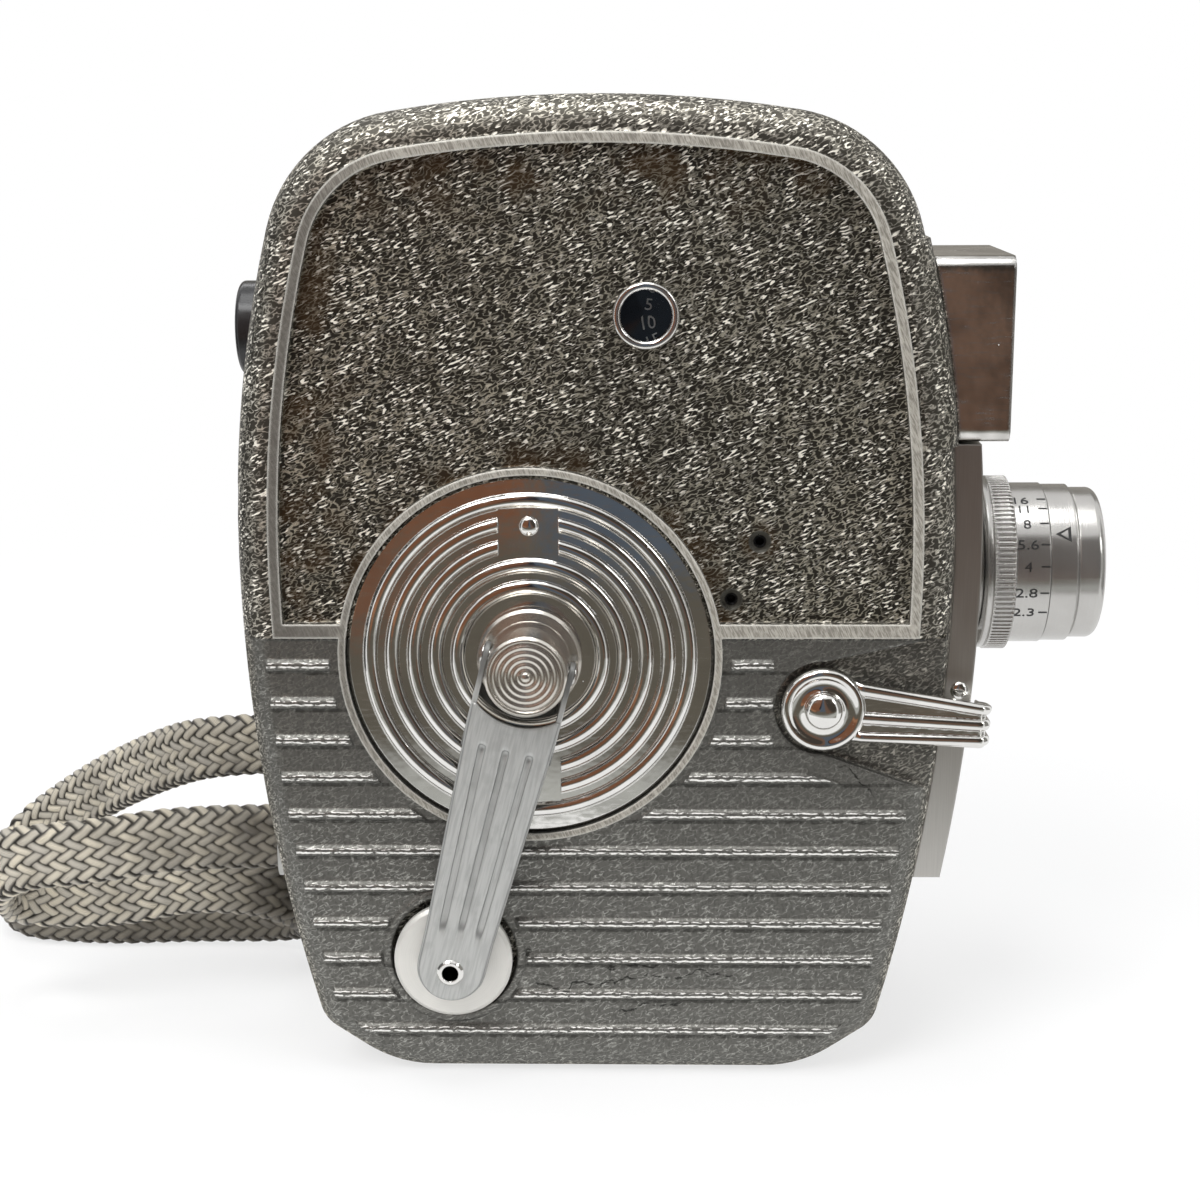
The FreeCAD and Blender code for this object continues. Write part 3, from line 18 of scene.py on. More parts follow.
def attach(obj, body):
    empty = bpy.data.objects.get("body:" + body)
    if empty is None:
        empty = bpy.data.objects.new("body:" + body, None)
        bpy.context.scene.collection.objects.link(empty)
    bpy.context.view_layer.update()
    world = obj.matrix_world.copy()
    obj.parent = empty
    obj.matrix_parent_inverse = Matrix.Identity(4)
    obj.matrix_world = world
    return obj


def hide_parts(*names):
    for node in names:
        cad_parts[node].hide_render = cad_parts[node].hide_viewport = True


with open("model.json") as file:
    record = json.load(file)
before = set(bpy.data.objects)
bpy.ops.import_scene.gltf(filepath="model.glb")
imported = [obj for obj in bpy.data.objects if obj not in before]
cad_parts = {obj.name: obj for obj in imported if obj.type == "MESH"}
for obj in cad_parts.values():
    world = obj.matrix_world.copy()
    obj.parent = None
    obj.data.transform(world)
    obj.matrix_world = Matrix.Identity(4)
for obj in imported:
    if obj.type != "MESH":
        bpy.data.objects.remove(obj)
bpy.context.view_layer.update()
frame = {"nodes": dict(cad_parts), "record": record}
MM = 0.001
HUB, KNOB, LEVER = (-8.5, 0.0, 58.8), (-19.191, 0.0, 17.46), (29.6, 0.0, 52.0)
LENS, LATCH, DIAL = (0.0, 5.0, 65.0), (16.0, 0.0, 60.0), (14.6, 0.0, 102.9)

# %% [markdown]
# The camera that took the picture stood close, a little above and to the right, and was tipped
# down. A line along the depth of the object runs to one point of the picture, so that point and
# the lens angle fix where the viewer looks, and the eye was found from the body's height.

# %% Set the viewer
IMAGE, FOCAL, SENSOR = 1200, 2074.0, 36.0
VANISH = (650.0, 110.0)
EYE = np.array([7.10, -285.11, 127.92]) * MM

depth = np.array([(VANISH[0] - IMAGE / 2) / FOCAL, (IMAGE / 2 - VANISH[1]) / FOCAL, 1.0])
depth /= np.linalg.norm(depth)
rise = np.array([0.0, 1.0, 0.0]) - depth[1] * depth
rise /= np.linalg.norm(rise)
across = np.cross(rise, depth)
right, up, ahead = np.stack([across, depth, rise], axis=1)

viewer = bpy.data.cameras.new("viewer")
viewer.sensor_width = SENSOR
viewer.lens = FOCAL / IMAGE * SENSOR
viewer.clip_start = 0.01
viewer_object = bpy.data.objects.new("viewer", viewer)
bpy.context.collection.objects.link(viewer_object)
pose = np.eye(4)
pose[:3] = np.column_stack([right, up, -ahead, EYE])
viewer_object.matrix_world = Matrix(pose.tolist())
bpy.context.scene.camera = viewer_object
print("viewer at", [round(value, 4) for value in EYE])

# %% [markdown]
# The wrist strap is a flat tubular braid. Its middle line is one smooth spline through the
# route that the frame's tube takes: out of the upper ferrule, round in a loop that stands on
# edge, along the ground and back in at the lower ferrule.

# %% Run the strap's middle line
STRAP_ROUTE = (
    (-46.05, 8.0, 36.8), (-57.5, 8.0, 36.8), (-69.0, 18.0, 30.8), (-83.0, 30.5, 21.4),
    (-97.0, 36.5, 10.2), (-96.2, 22.0, 5.2), (-80.0, 19.4, 4.8), (-66.0, 20.6, 4.9),
    (-46.6, 19.6, 5.4), (-46.0, 3.8, 15.6), (-61.0, 2.2, 17.5), (-70.0, 1.4, 15.2),
    (-86.5, 2.6, 14.4), (-85.2, -13.6, 26.4), (-70.0, -14.8, 28.2), (-58.0, -10.0, 28.8),
    (-44.95, -10.0, 28.8),
)


def traced(curve):
    """The points and the faces of a curve or a text, after which the curve is thrown away."""
    held = bpy.data.objects.new(curve.name, curve)
    bpy.context.collection.objects.link(held)
    bpy.context.view_layer.update()
    mesh = bpy.data.meshes.new_from_object(held)
    points = np.empty(len(mesh.vertices) * 3)
    mesh.vertices.foreach_get("co", points)
    faces = [list(face.vertices) for face in mesh.polygons]
    bpy.data.meshes.remove(mesh)
    bpy.data.objects.remove(held)
    bpy.data.curves.remove(curve)
    return points.reshape(-1, 3), faces


def spline_points(name, route):
    """Points in metres along one NURBS spline that the route's points steer."""
    curve = bpy.data.curves.new(name, "CURVE")
    curve.dimensions = "3D"
    curve.resolution_u = 24
    spline = curve.splines.new("NURBS")
    spline.points.add(len(route) - 1)
    for point, place in zip(spline.points, route):
        point.co = (*(value * MM for value in place), 1.0)
    spline.order_u = 3
    spline.use_endpoint_u = True
    return traced(curve)[0]


def resample(points, count):
    """The same line as evenly spaced points, and its length: distance run is the parameter."""
    run = np.concatenate([[0.0], np.cumsum(np.linalg.norm(np.diff(points, axis=0), axis=1))])
    even = np.linspace(0.0, run[-1], count)
    return np.stack([np.interp(even, run, points[:, axis]) for axis in range(3)], axis=1), run[-1]


STRAP_STEPS = 380
strap_line, strap_length = resample(spline_points("strap_line", STRAP_ROUTE), STRAP_STEPS)
print("strap %.1f mm" % (strap_length / MM))


# %% [markdown]
# The braid is made the way a machine plaits it. Twelve yarns wind one way round the flat
# section and twelve the other, and each goes over two and under two. Every yarn is a flattened
# tube, so the edge of the strap and its crossings are real shapes and not a drawn pattern.

# %% Plait the strap
def unit(vectors):
    """Each vector divided by its own length."""
    return vectors / np.linalg.norm(vectors, axis=-1, keepdims=True)


def stadium(turns, width, thickness):
    """Points and outward directions round a flat section with half-round ends.

    The part of the edge gone round, from 0 to 1, becomes a distance along two straight sides
    and two half circles; direction is straight out on a side and radial on an end.
    """
    radius = thickness / 2
    side = width - thickness
    arc = math.pi * radius
    run = (turns % 1.0) * 2 * (side + arc)
    half = run >= side + arc
    run = np.where(half, run - side - arc, run)
    angle = np.clip(run - side, 0.0, arc) / radius
    across = np.where(run < side, run - side / 2, side / 2 + radius * np.sin(angle))
    out = np.where(run < side, radius, radius * np.cos(angle))
    across_way = np.where(run < side, 0.0, np.sin(angle))
    out_way = np.where(run < side, 1.0, np.cos(angle))
    flip = np.where(half, -1.0, 1.0)
    return across * flip, out * flip, across_way * flip, out_way * flip


def grid_faces(rows, columns, loop_rows=False, loop_columns=False):
    """Quads between neighbouring points of a grid, closed on itself where asked."""
    row = np.arange(rows if loop_rows else rows - 1)[:, None]
    column = np.arange(columns if loop_columns else columns - 1)[None, :]
    after, beside = (row + 1) % rows, (column + 1) % columns
    corners = (row * columns + column, row * columns + beside,
               after * columns + beside, after * columns + column)
    return np.stack(corners, axis=-1).reshape(-1, 4)


def mesh_piece(name, points, faces, uv=None, smooth=True):
    """A mesh object at the origin from arrays; uv holds one pair for each vertex."""
    mesh = bpy.data.meshes.new(name)
    mesh.from_pydata(points.reshape(-1, 3).tolist(), [], faces)
    mesh.shade_smooth() if smooth else mesh.shade_flat()
    if uv is not None:
        loops = np.empty(len(mesh.loops), dtype=np.int32)
        mesh.loops.foreach_get("vertex_index", loops)
        layer = mesh.uv_layers.new(name="UVMap")
        layer.data.foreach_set("uv", uv.reshape(-1, 2)[loops].ravel())
    piece = bpy.data.objects.new(name, mesh)
    bpy.context.collection.objects.link(piece)
    return piece


YARNS = 12
YARN_STEP = 2.4 * MM
BRAID_WIDTH, BRAID_THICK = 7.8 * MM, 1.5 * MM
YARN_HALF_WIDTH, YARN_HALF_THICK, YARN_LIFT = 0.8 * MM, 0.46 * MM, 0.38 * MM
YARN_SIDES = 8


def plait(line, length):
    """Vertices of all yarns, shaped (yarn, step, side, 3), and a uv for each.

    A yarn's place round the section is its number plus or minus the distance run over the
    step. Its height is a cosine of the sum of the two yarn numbers that meet there, with a
    period of four, so it lies over two and under two; the other family takes the opposite.
    """
    run = np.linspace(0.0, length, len(line))
    ahead = unit(np.gradient(line, axis=0))
    up = np.array([0.0, 0.0, 1.0])
    broad = unit(up - (ahead @ up)[:, None] * ahead)
    flat = np.cross(ahead, broad)
    number = np.arange(YARNS)[:, None]
    families = []
    for way in (1.0, -1.0):
        place = number + way * run / YARN_STEP
        turn = math.pi / 2 * (2 * number + way * 2 * run / YARN_STEP - 0.5)
        lift = way * YARN_LIFT * np.cos(turn)
        across, out, across_way, out_way = stadium(place / YARNS, BRAID_WIDTH, BRAID_THICK)
        outward = across_way[..., None] * broad + out_way[..., None] * flat
        middle = (line + across[..., None] * broad + out[..., None] * flat
                  + lift[..., None] * outward)
        along = unit(np.gradient(middle, axis=1))
        sideways = unit(np.cross(along, outward))
        outward = np.cross(sideways, along)
        angle = np.linspace(0.0, 2 * math.pi, YARN_SIDES, endpoint=False)
        ring = (YARN_HALF_WIDTH * np.cos(angle)[:, None] * sideways[..., None, :]
                + YARN_HALF_THICK * np.sin(angle)[:, None] * outward[..., None, :])
        families.append(middle[..., None, :] + ring)
    points = np.concatenate(families)
    shape = points.shape[:3]
    around = np.broadcast_to(np.linspace(0.0, 1.0, YARN_SIDES, endpoint=False), shape)
    colour = np.broadcast_to(np.arange(shape[0])[:, None, None], shape)
    lengthwise = np.broadcast_to((run / length)[None, :, None], shape)
    return points, np.stack([colour + lengthwise * 0.9, around], axis=-1)


def tube_faces(tubes, steps, sides):
    """Quads between neighbouring rings of each tube, and one face to close each end."""
    start, side = np.arange(tubes)[:, None] * steps * sides, np.arange(sides)
    quads = start[..., None] + grid_faces(steps, sides, False, True)
    caps = np.concatenate([start + side[::-1], start + (steps - 1) * sides + side])
    return quads.reshape(-1, 4).tolist() + caps.tolist()


yarn_points, yarn_uv = plait(strap_line, strap_length)
strap = mesh_piece("strap_braid", yarn_points,
                   tube_faces(2 * YARNS, STRAP_STEPS, YARN_SIDES), yarn_uv)
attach(strap, "camera_body")
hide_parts("wrist_strap")
print("braid:", len(strap.data.polygons), "faces")

# %% [markdown]
# The pieces below are new surfaces that lie over the plain ones of the frame. Each is a grid of
# points worked out at once, or a profile turned about an axis. One helper turns the faces
# outward, keeps hard edges hard and sets the piece on its body, and one gives a sheet its wall.

# %% Helpers for pieces
MERGE = 2e-7                        # metres between points that are one


def settle(piece, body, slot, *nodes, crease=30.0):
    """Faces outward, edges sharper than the crease hard, and the piece on its body."""
    held = bmesh.new()
    held.from_mesh(piece.data)
    bmesh.ops.remove_doubles(held, verts=held.verts, dist=MERGE)
    bmesh.ops.recalc_face_normals(held, faces=held.faces)
    held.to_mesh(piece.data)
    held.free()
    piece.data.set_sharp_from_angle(angle=math.radians(crease))
    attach(piece, body)
    if nodes:
        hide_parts(*nodes)
    print(piece.name, len(piece.data.polygons), "faces")
    return piece


def sheet(piece, thickness):
    """A live Solidify step that gives a surface its wall, on the inner side."""
    wall = piece.modifiers.new("sheet", "SOLIDIFY")
    wall.thickness, wall.offset, wall.use_even_offset = thickness * MM, -1.0, False


def prism_faces(count):
    """The walls and the two ends of a prism between two outlines of count points each."""
    ends = [list(range(count)), list(range(2 * count - 1, count - 1, -1))]
    return grid_faces(2, count, False, True).tolist() + ends


def turned_piece(name, profile, centre, axis="y", sides=128, closed=False, shape=None):
    """A profile of (radius, place along the axis) turned about a line through the centre.

    A point is centre + radius (cos a, sin a) across the axis, at its place along it. The shape
    function may change the radius with the place and the angle.
    """
    radius, run = np.array(profile, dtype=float).T
    angle = np.linspace(0.0, 2 * math.pi, sides, endpoint=False)[:, None]
    radius = radius + 0 * angle if shape is None else shape(radius, run, angle)
    first, second, run = radius * np.cos(angle), radius * np.sin(angle), run + 0 * angle
    order = {"x": (run, centre[1] + first, centre[2] + second),
             "y": (centre[0] + first, run, centre[2] + second)}[axis]
    return mesh_piece(name, np.stack(order, axis=-1) * MM,
                      grid_faces(sides, len(profile), True, closed).tolist())


def smooth(value, low, high):
    """0 below low, 1 above high, and 3t^2 - 2t^3 between them."""
    part = np.clip((value - low) / (high - low), 0.0, 1.0)
    return part * part * (3 - 2 * part)


def quarter_round(steps, radius, top, rise):
    """A quarter of an ellipse from (radius, top) to the axis, rise higher, as a profile."""
    bend = np.linspace(0.0, math.pi / 2, steps)
    return np.stack([radius * np.cos(bend), top - rise * np.sin(bend)], axis=-1).tolist()


# %% [markdown]
# The crank arm is pressed from sheet: a flat face with three narrow grooves, its edge turned
# down all round, and a hollow end that clears the hub. The face is a grid along and across the
# arm, the turned-down edge carries its rim on round a small radius, and a live Solidify step
# gives the sheet its thickness.

# %% Press the crank arm
ARM_ROWS, ARM_COLUMNS = 120, 101
ARM_TOP, ARM_FOOT, ARM_FOLD = -31.0, -28.5, 0.7
ARM_END, RIVET_AT, RIVET_HOLE = 42.3, 42.7, 1.45
ARM_HOLLOW, GROOVE_DEEP, DIMPLE_DEEP = 8.3, 0.34, 0.25
GROOVES = (-3.15, -0.05, 3.05)
hub_at, knob_at = np.array(HUB)[[0, 2]], np.array(KNOB)[[0, 2]]
arm_way = (knob_at - hub_at) / np.linalg.norm(knob_at - hub_at)
arm_side = np.array([-arm_way[1], arm_way[0]])


def arm_half_width(run):
    """Half the width of the flat face: a taper along the arm, less the folded edge."""
    return np.interp(run, [6.0, 12.0, 38.0, 48.0], [5.95, 5.75, 4.6, 4.5]) - ARM_FOLD


def on_arm(run, over, depth):
    """Points in metres from the distance along the arm, across it, and the place in y."""
    flat = hub_at + run[..., None] * arm_way + over[..., None] * arm_side
    return np.stack([flat[..., 0], depth + 0 * run, flat[..., 1]], axis=-1) * MM


def press_arm():
    """The face, shaped (row, column), and its folded edge, shaped (rim point, step).

    Column q from -1 to 1 runs from a hollow of radius 8.3 to a half-round end. A groove is a
    smooth box 0.9 wide and 0.34 deep, with a deeper dimple at its head, fading at its foot.
    """
    q = np.linspace(-1.0, 1.0, ARM_COLUMNS)[None, :]
    start = -0.45 + np.sqrt(ARM_HOLLOW ** 2 - (5.25 * q) ** 2)
    end = ARM_END + arm_half_width(44.0) * np.sqrt(1 - q ** 2)
    run = start + (end - start) * np.linspace(0.0, 1.0, ARM_ROWS)[:, None]
    over = q * arm_half_width(run)
    depth = np.full_like(run, ARM_TOP)
    share = arm_half_width(run) / arm_half_width(12.0)
    for middle in GROOVES:
        apart = np.abs(over - middle * share)
        groove = smooth(apart, 0.58, 0.34) * smooth(run, 10.9, 11.8) * smooth(run, 38.6, 35.0)
        dimple = np.exp(-((run - 11.8) / 0.7) ** 2 - (apart / 0.42) ** 2)
        depth = depth + GROOVE_DEEP * groove + DIMPLE_DEEP * dimple
    depth = depth - 0.1 * smooth(np.abs(q), 1.0, 0.2) * smooth(run, 9.0, 12.0)
    face = np.stack([run, over, depth], axis=-1)
    rim = np.concatenate([face[:, 0], face[-1, 1:], face[-2::-1, -1]])
    aim = np.stack([rim[:, 0] - ARM_END, rim[:, 1]], axis=-1)
    aim[:ARM_ROWS - 1] = (0.04, -1.0)
    aim[-ARM_ROWS + 1:] = (0.04, 1.0)
    aim = unit(aim)
    bend = np.linspace(0.0, math.pi / 2, 8)
    out = ARM_FOLD * np.append(np.sin(bend), [1.0, 1.0])
    down = np.append(ARM_FOLD * (1 - np.cos(bend)), [1.6, ARM_FOOT - ARM_TOP])
    fold = np.stack([rim[:, None, 0] + aim[:, None, 0] * out, rim[:, None, 1]
                     + aim[:, None, 1] * out, rim[:, None, 2] + down], axis=-1)
    return face, fold


arm_face, arm_fold = press_arm()
arm_points = np.concatenate([on_arm(*np.moveaxis(part, -1, 0)).reshape(-1, 3)
                             for part in (arm_face, arm_fold)])
arm_quads = np.concatenate([grid_faces(ARM_ROWS, ARM_COLUMNS),
                            grid_faces(*arm_fold.shape[:2]) + ARM_ROWS * ARM_COLUMNS])
arm_plan = np.concatenate([arm_face[..., :2].reshape(-1, 2), arm_fold[..., :2].reshape(-1, 2)])
gap = np.linalg.norm(arm_plan[arm_quads].mean(axis=1) - (RIVET_AT, 0.0), axis=-1)
arm_sheet = settle(mesh_piece("crank_arm_sheet", arm_points, arm_quads[gap > RIVET_HOLE].tolist()),
                   "crank", "chrome", "crank_arm", crease=50)
sheet(arm_sheet, 0.6)

# %% [markdown]
# Two flat ears carry on from the arm's turned-down edges to the hinge pins. Each is a prism
# between two planes across the arm, and a live Bevel step breaks its edges, as a file would.

# %% Add the ears of the hinge
EAR_ROUND, PIN_DEPTH = 1.7, -28.6


def hinge_ear(name, near, far):
    """A flat ear between two planes across the arm: a straight tongue with a round end."""
    bend = np.linspace(-math.pi / 2, math.pi / 2, 24)
    run = np.concatenate([[12.0, 12.0, 6.5], -EAR_ROUND * np.cos(bend), [6.5]])
    depth = np.concatenate([[PIN_DEPTH, -30.4, -30.75], PIN_DEPTH + EAR_ROUND * np.sin(bend),
                            [-27.6]])
    sides = np.stack([on_arm(run, np.full_like(run, over), depth) for over in (near, far)])
    ear = settle(mesh_piece(name, sides, prism_faces(len(run))), "crank", "chrome", crease=40)
    edge = ear.modifiers.new("edge", "BEVEL")
    edge.width, edge.segments = 0.1 * MM, 2
    return ear


ears = [hinge_ear("near_ear", 5.24, 5.93), hinge_ear("far_ear", -5.93, -5.24)]

# %% [markdown]
# The post that the arm hangs on has a cap with fine turned rings round a centre pip, left from
# the lathe. They are drawn as a wave of the distance from the axis, laid in the cap's shallow
# recess.

# %% Turn the rings of the hub's cap
RING_STEP, RING_HIGH = 0.78, 0.14
PIP, CAP, CAP_BACK = 0.7, 4.42, -34.6
cap_radius = np.linspace(PIP, CAP, 90)
cap_depth = -34.79 - RING_HIGH * (0.5 + 0.5 * np.cos(2 * math.pi * cap_radius / RING_STEP))
cap_profile = np.column_stack([cap_radius, cap_depth]).tolist() + [(CAP, CAP_BACK), (PIP, CAP_BACK)]
hub_rings = settle(turned_piece("hub_rings", cap_profile, HUB, closed=True), "winder", "chrome")

# %% [markdown]
# Two round-headed screws hold the disc. Each head is half a ball that stands in a shallow
# dimple, so it is turned from a quarter circle.

# %% Turn the disc's screw heads
screw = [(0.0, -23.4), (0.6, -23.4), (0.6, -24.9), (1.3, -24.9),
         *quarter_round(14, 1.3, -24.95, 0.75)]
screw_heads = [settle(turned_piece(name, screw, (-8.4, 0, height), sides=48), "camera_body",
                      "chrome", crease=40)
               for name, height in (("upper_screw", 76.2), ("lower_screw", 41.4))]
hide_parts("disc_screws")

# %% [markdown]
# The start lever is a pressing too: a cup-shaped boss, a tapering arm with three rounded ridges,
# and a finger tab bent round the edge of the front plate. The arm is one sheet along a path that
# runs straight, bends through a quarter turn and goes down. The ridges follow three lines that
# draw together towards the tip.

# %% Press the start lever
LEVER_STEPS, LEVER_COLUMNS = 110, 90
LEVER_START, LEVER_LONG = 32.6, 24.6
LEVER_FACE, LEVER_TURN, LEVER_BEND, LEVER_EDGE = -25.7, 49.7, 1.1, 0.55
RIDGES = ((54.75, -0.165, 0.95), (50.9, -0.063, 0.8), (48.25, -0.031, 0.72))


def lever_sheet():
    """Points shaped (step, column, 3) in metres.

    Path p is distance along the arm from its start; past the bend's start the direction turns
    by (p - start) / radius until it points along +y. A ridge (height at its root, slope, half
    width w) stands 0.78 w sqrt(1 - (d / w)^2) high at a distance d from its line.
    """
    p = np.linspace(0.0, LEVER_LONG, LEVER_STEPS)[:, None]
    straight = LEVER_TURN - LEVER_START
    turn = np.clip((p - straight) / LEVER_BEND, 0.0, math.pi / 2)
    past = np.clip(p - straight - LEVER_BEND * math.pi / 2, 0.0, None)
    x = LEVER_START + np.minimum(p, straight) + LEVER_BEND * np.sin(turn)
    y = LEVER_FACE + LEVER_BEND * (1 - np.cos(turn)) + past
    flat_x = LEVER_START + p
    low, high = 47.65 - 0.059 * (flat_x - 33.2), 55.75 - 0.192 * (flat_x - 34.6)
    z = low + (high - low) * np.linspace(0.0, 1.0, LEVER_COLUMNS)[None, :]
    height = np.zeros_like(z)
    for start, slope, half in RIDGES:
        apart = np.abs(z - start - slope * (flat_x - 34.6)) / half
        ridge = np.sqrt(np.clip(1 - apart ** 2, 0.0, 1.0)) * 0.78 * half
        height = np.maximum(height, ridge * smooth(flat_x, 33.2, 34.6) * smooth(y, -20.5, -22.5))
    edge = np.minimum(z - low, high - z)
    height = height - LEVER_EDGE * (1 - np.sqrt(1 - (1 - np.clip(edge / LEVER_EDGE, 0, 1)) ** 2))
    return np.stack([x + height * np.sin(turn), y - height * np.cos(turn), z], axis=-1) * MM


lever_arm = settle(mesh_piece("lever_arm_sheet", lever_sheet(), grid_faces(
    LEVER_STEPS, LEVER_COLUMNS).tolist()), "lever", "chrome", "start_lever", crease=60)
sheet(lever_arm, 0.7)

lever_boss = settle(turned_piece("lever_boss", [
    (1.6, -23.5), (5.1, -23.5), (5.4, -23.9), (5.6, -25.3), (5.55, -25.8), (5.35, -26.2),
    (5.05, -26.42), (4.75, -26.48), (4.45, -26.4), (4.2, -26.2), (3.9, -26.08), (3.3, -26.02),
    (2.9, -26.1), (2.6, -26.3), (2.4, -26.45), (1.6, -26.5)], LEVER, closed=True),
    "lever", "chrome", crease=40)
lever_rivet = settle(turned_piece("lever_rivet", [
    (0.0, -19.6), (1.5, -19.6), (1.5, -26.44), (2.4, -26.44),
    *quarter_round(16, 2.45, -26.55, 1.25)], LEVER), "lever", "chrome", "lever_spindle", crease=40)

# %% [markdown]
# The aperture ring has a knurled grip, cut in straight teeth, and a plain band that carries the
# scale. The teeth are a wave of the angle, flattened at the top as a knurling wheel leaves them.

# %% Knurl the aperture ring
TEETH, TOOTH_DEEP = 104, 0.26


def knurl(radius, run, angle):
    """The radius less a tooth's depth of a flattened wave of the angle, inside the band."""
    wave = np.clip(0.5 + 0.9 * np.cos(TEETH * angle), 0.0, 1.0)
    band = smooth(run, 54.35, 54.6) * smooth(run, 57.25, 57.0)
    return radius - TOOTH_DEEP * (1 - wave) * band * (radius > 11.6)


grip = [(12.3, place) for place in (54.3, 54.4, 54.5, 54.65, 55.5, 56.4, 56.95, 57.1, 57.2)]
aperture_grip = settle(turned_piece("aperture_grip", [
    (8.66, 53.3), (11.9, 53.3), (12.1, 53.45), (12.1, 54.05), (12.0, 54.25), *grip,
    (11.95, 57.35), (11.3, 57.4), (11.3, 62.05), (11.25, 62.1), (8.66, 62.1)], LENS, "x",
    sides=TEETH * 6, closed=True, shape=knurl), "aperture", "turned_aluminium", "aperture_ring",
    crease=35)

# %% [markdown]
# The numbers, the ticks and the index on the barrel are filled engravings. Each is a thin solid
# bent round the metal and raised by a hair, a little more than its straight edges dip under the
# curve. Text is traced as a mesh first, and squeezed between the places where it begins and ends.

# %% Engrave the scale and the index
SCALE_RADIUS, NOSE_RADIUS, SUNK = 11.3, 11.1, 0.08


def bent_round(name, flat, faces, radius, proud, body):
    """Flat shapes (x, height, side 0 or 1) bent round the lens axis at a radius.

    Height h above the axis plane becomes an angle h / radius, so a shape keeps its size; side
    1 stands proud of the metal and side 0 lies under it.
    """
    angle = flat[:, 1] / radius
    reach = radius - SUNK + (SUNK + proud) * flat[:, 2]
    points = np.stack([flat[:, 0], LENS[1] - reach * np.cos(angle),
                       LENS[2] + reach * np.sin(angle)], axis=-1)
    return settle(mesh_piece(name, points * MM, faces, smooth=False), body, "black_enamel")


def written(text, size):
    """The outline of a text as flat corners (x, height, side) and faces, lower left at 0."""
    curve = bpy.data.curves.new("number", "FONT")
    curve.body, curve.size, curve.extrude, curve.resolution_u = text, size, 0.5, 3
    corners, faces = traced(curve)
    corners[:, :2] -= corners[:, :2].min(axis=0)
    corners[:, 2] = corners[:, 2] > 0
    return corners, faces


def gather(parts):
    """One array of corners and one list of faces from several (corners, faces) pairs."""
    counts = np.cumsum([0] + [len(corners) for corners, _ in parts])
    faces = [[corner + shift for corner in face]
             for shift, (_, made) in zip(counts.tolist(), parts) for face in made]
    return np.concatenate([corners for corners, _ in parts]), faces


def plank(left, right, low, high):
    """A flat bar as corners (x, height, side) and the six faces of a box."""
    corners = np.array([(x, h, side) for side in (0, 1) for x, h in (
        (left, low), (right, low), (right, high), (left, high))], dtype=float)
    return corners, prism_faces(4)


SCALE = (("16", 60.75, 57.6, 59.55), ("11", 52.0, 58.1, 59.4), ("8", 39.25, 58.5, 59.5),
         ("5.6", 24.0, 57.55, 60.4), ("4", 8.5, 58.45, 59.5), ("2.8", -10.25, 57.4, 60.35),
         ("2.3", -26.0, 57.25, 60.15))
TICKS = (62.5, 52.75, 40.0, 24.25, 8.75, -10.25, -26.0)
TICK_NEAR, TICK_FAR, TICK_HALF, SCALE_SIZE = 60.75, 61.95, 0.1, 1.9
parts = []
for text, angle, left, right in SCALE:
    corners, faces = written(text, SCALE_SIZE)
    corners[:, 0] = left + corners[:, 0] * (right - left) / corners[:, 0].max()
    corners[:, 1] += math.radians(angle) * SCALE_RADIUS - corners[:, 1].max() / 2
    parts.append((corners, faces))
for angle in TICKS:
    middle = math.radians(angle) * SCALE_RADIUS
    parts.append(plank(TICK_NEAR, TICK_FAR, middle - TICK_HALF, middle + TICK_HALF))
scale_marks = bent_round("scale_marks", *gather(parts), SCALE_RADIUS, 0.06, "aperture")

INDEX_ANGLE = 32.25
tip, base, half = 62.85, 64.95, 1.1
inner_tip, inner_base, inner_half = tip + 0.62, base - 0.4, half - 0.42
middle = math.radians(INDEX_ANGLE) * NOSE_RADIUS
loops = [[(point, middle, side), (foot, middle + wide, side), (foot, middle - wide, side)]
         for point, foot, wide, side in (
             (tip, base, half, 0), (tip, base, half, 1),
             (inner_tip, inner_base, inner_half, 1), (inner_tip, inner_base, inner_half, 0))]
index_mark = bent_round("index_mark", np.array(loops).reshape(-1, 3),
                        grid_faces(4, 3, True, True).tolist(), NOSE_RADIUS, 0.08, "camera_body")

# %% [markdown]
# The film counter's dial carries pale numbers, five apart, that pass the window. Each is upright
# when it stands at the window's side of the dial, so a number is laid there and then turned by
# its share of the circle.

# %% Number the counter
NUMBER_STEP, NUMBER_REACH, FIRST_SHOWN = math.radians(16.4), 8.0, 1.5
DIAL_FACE, INK_HIGH = -21.62, 0.1
NUMBERS, APART, NUMBER_SIZE = 21, 5, 2.1
parts = []
for place in range(NUMBERS):
    corners, faces = written(str(APART * place), NUMBER_SIZE)
    corners[:, :2] -= corners[:, :2].max(axis=0) / 2
    turn = (place - FIRST_SHOWN) * NUMBER_STEP
    x, h = corners[:, 0] - NUMBER_REACH + 0.25, corners[:, 1]
    parts.append((np.column_stack([
        DIAL[0] + (x * math.cos(turn) - h * math.sin(turn)), DIAL_FACE - INK_HIGH * corners[:, 2],
        DIAL[2] + (x * math.sin(turn) + h * math.cos(turn))]), faces))
corners, faces = gather(parts)
dial_numbers = settle(mesh_piece("dial_numbers", corners * MM, faces, smooth=False), "counter",
                      "chrome")

# %% [markdown]
# Every finish is built from a few shader nodes. One helper adds a node and fills its sockets. A
# number that varies over a surface is a Level, and arithmetic on it adds the node that does the
# sum, so that a finish reads as a short list of formulas.

# %% Helpers for shader nodes
class Level:
    """A number that varies over a surface; arithmetic on it adds Math nodes to its tree."""

    def __init__(self, socket):
        self.socket, self.tree = socket, socket.id_data

    def __rsub__(self, other):
        return calc("SUBTRACT", other, self)


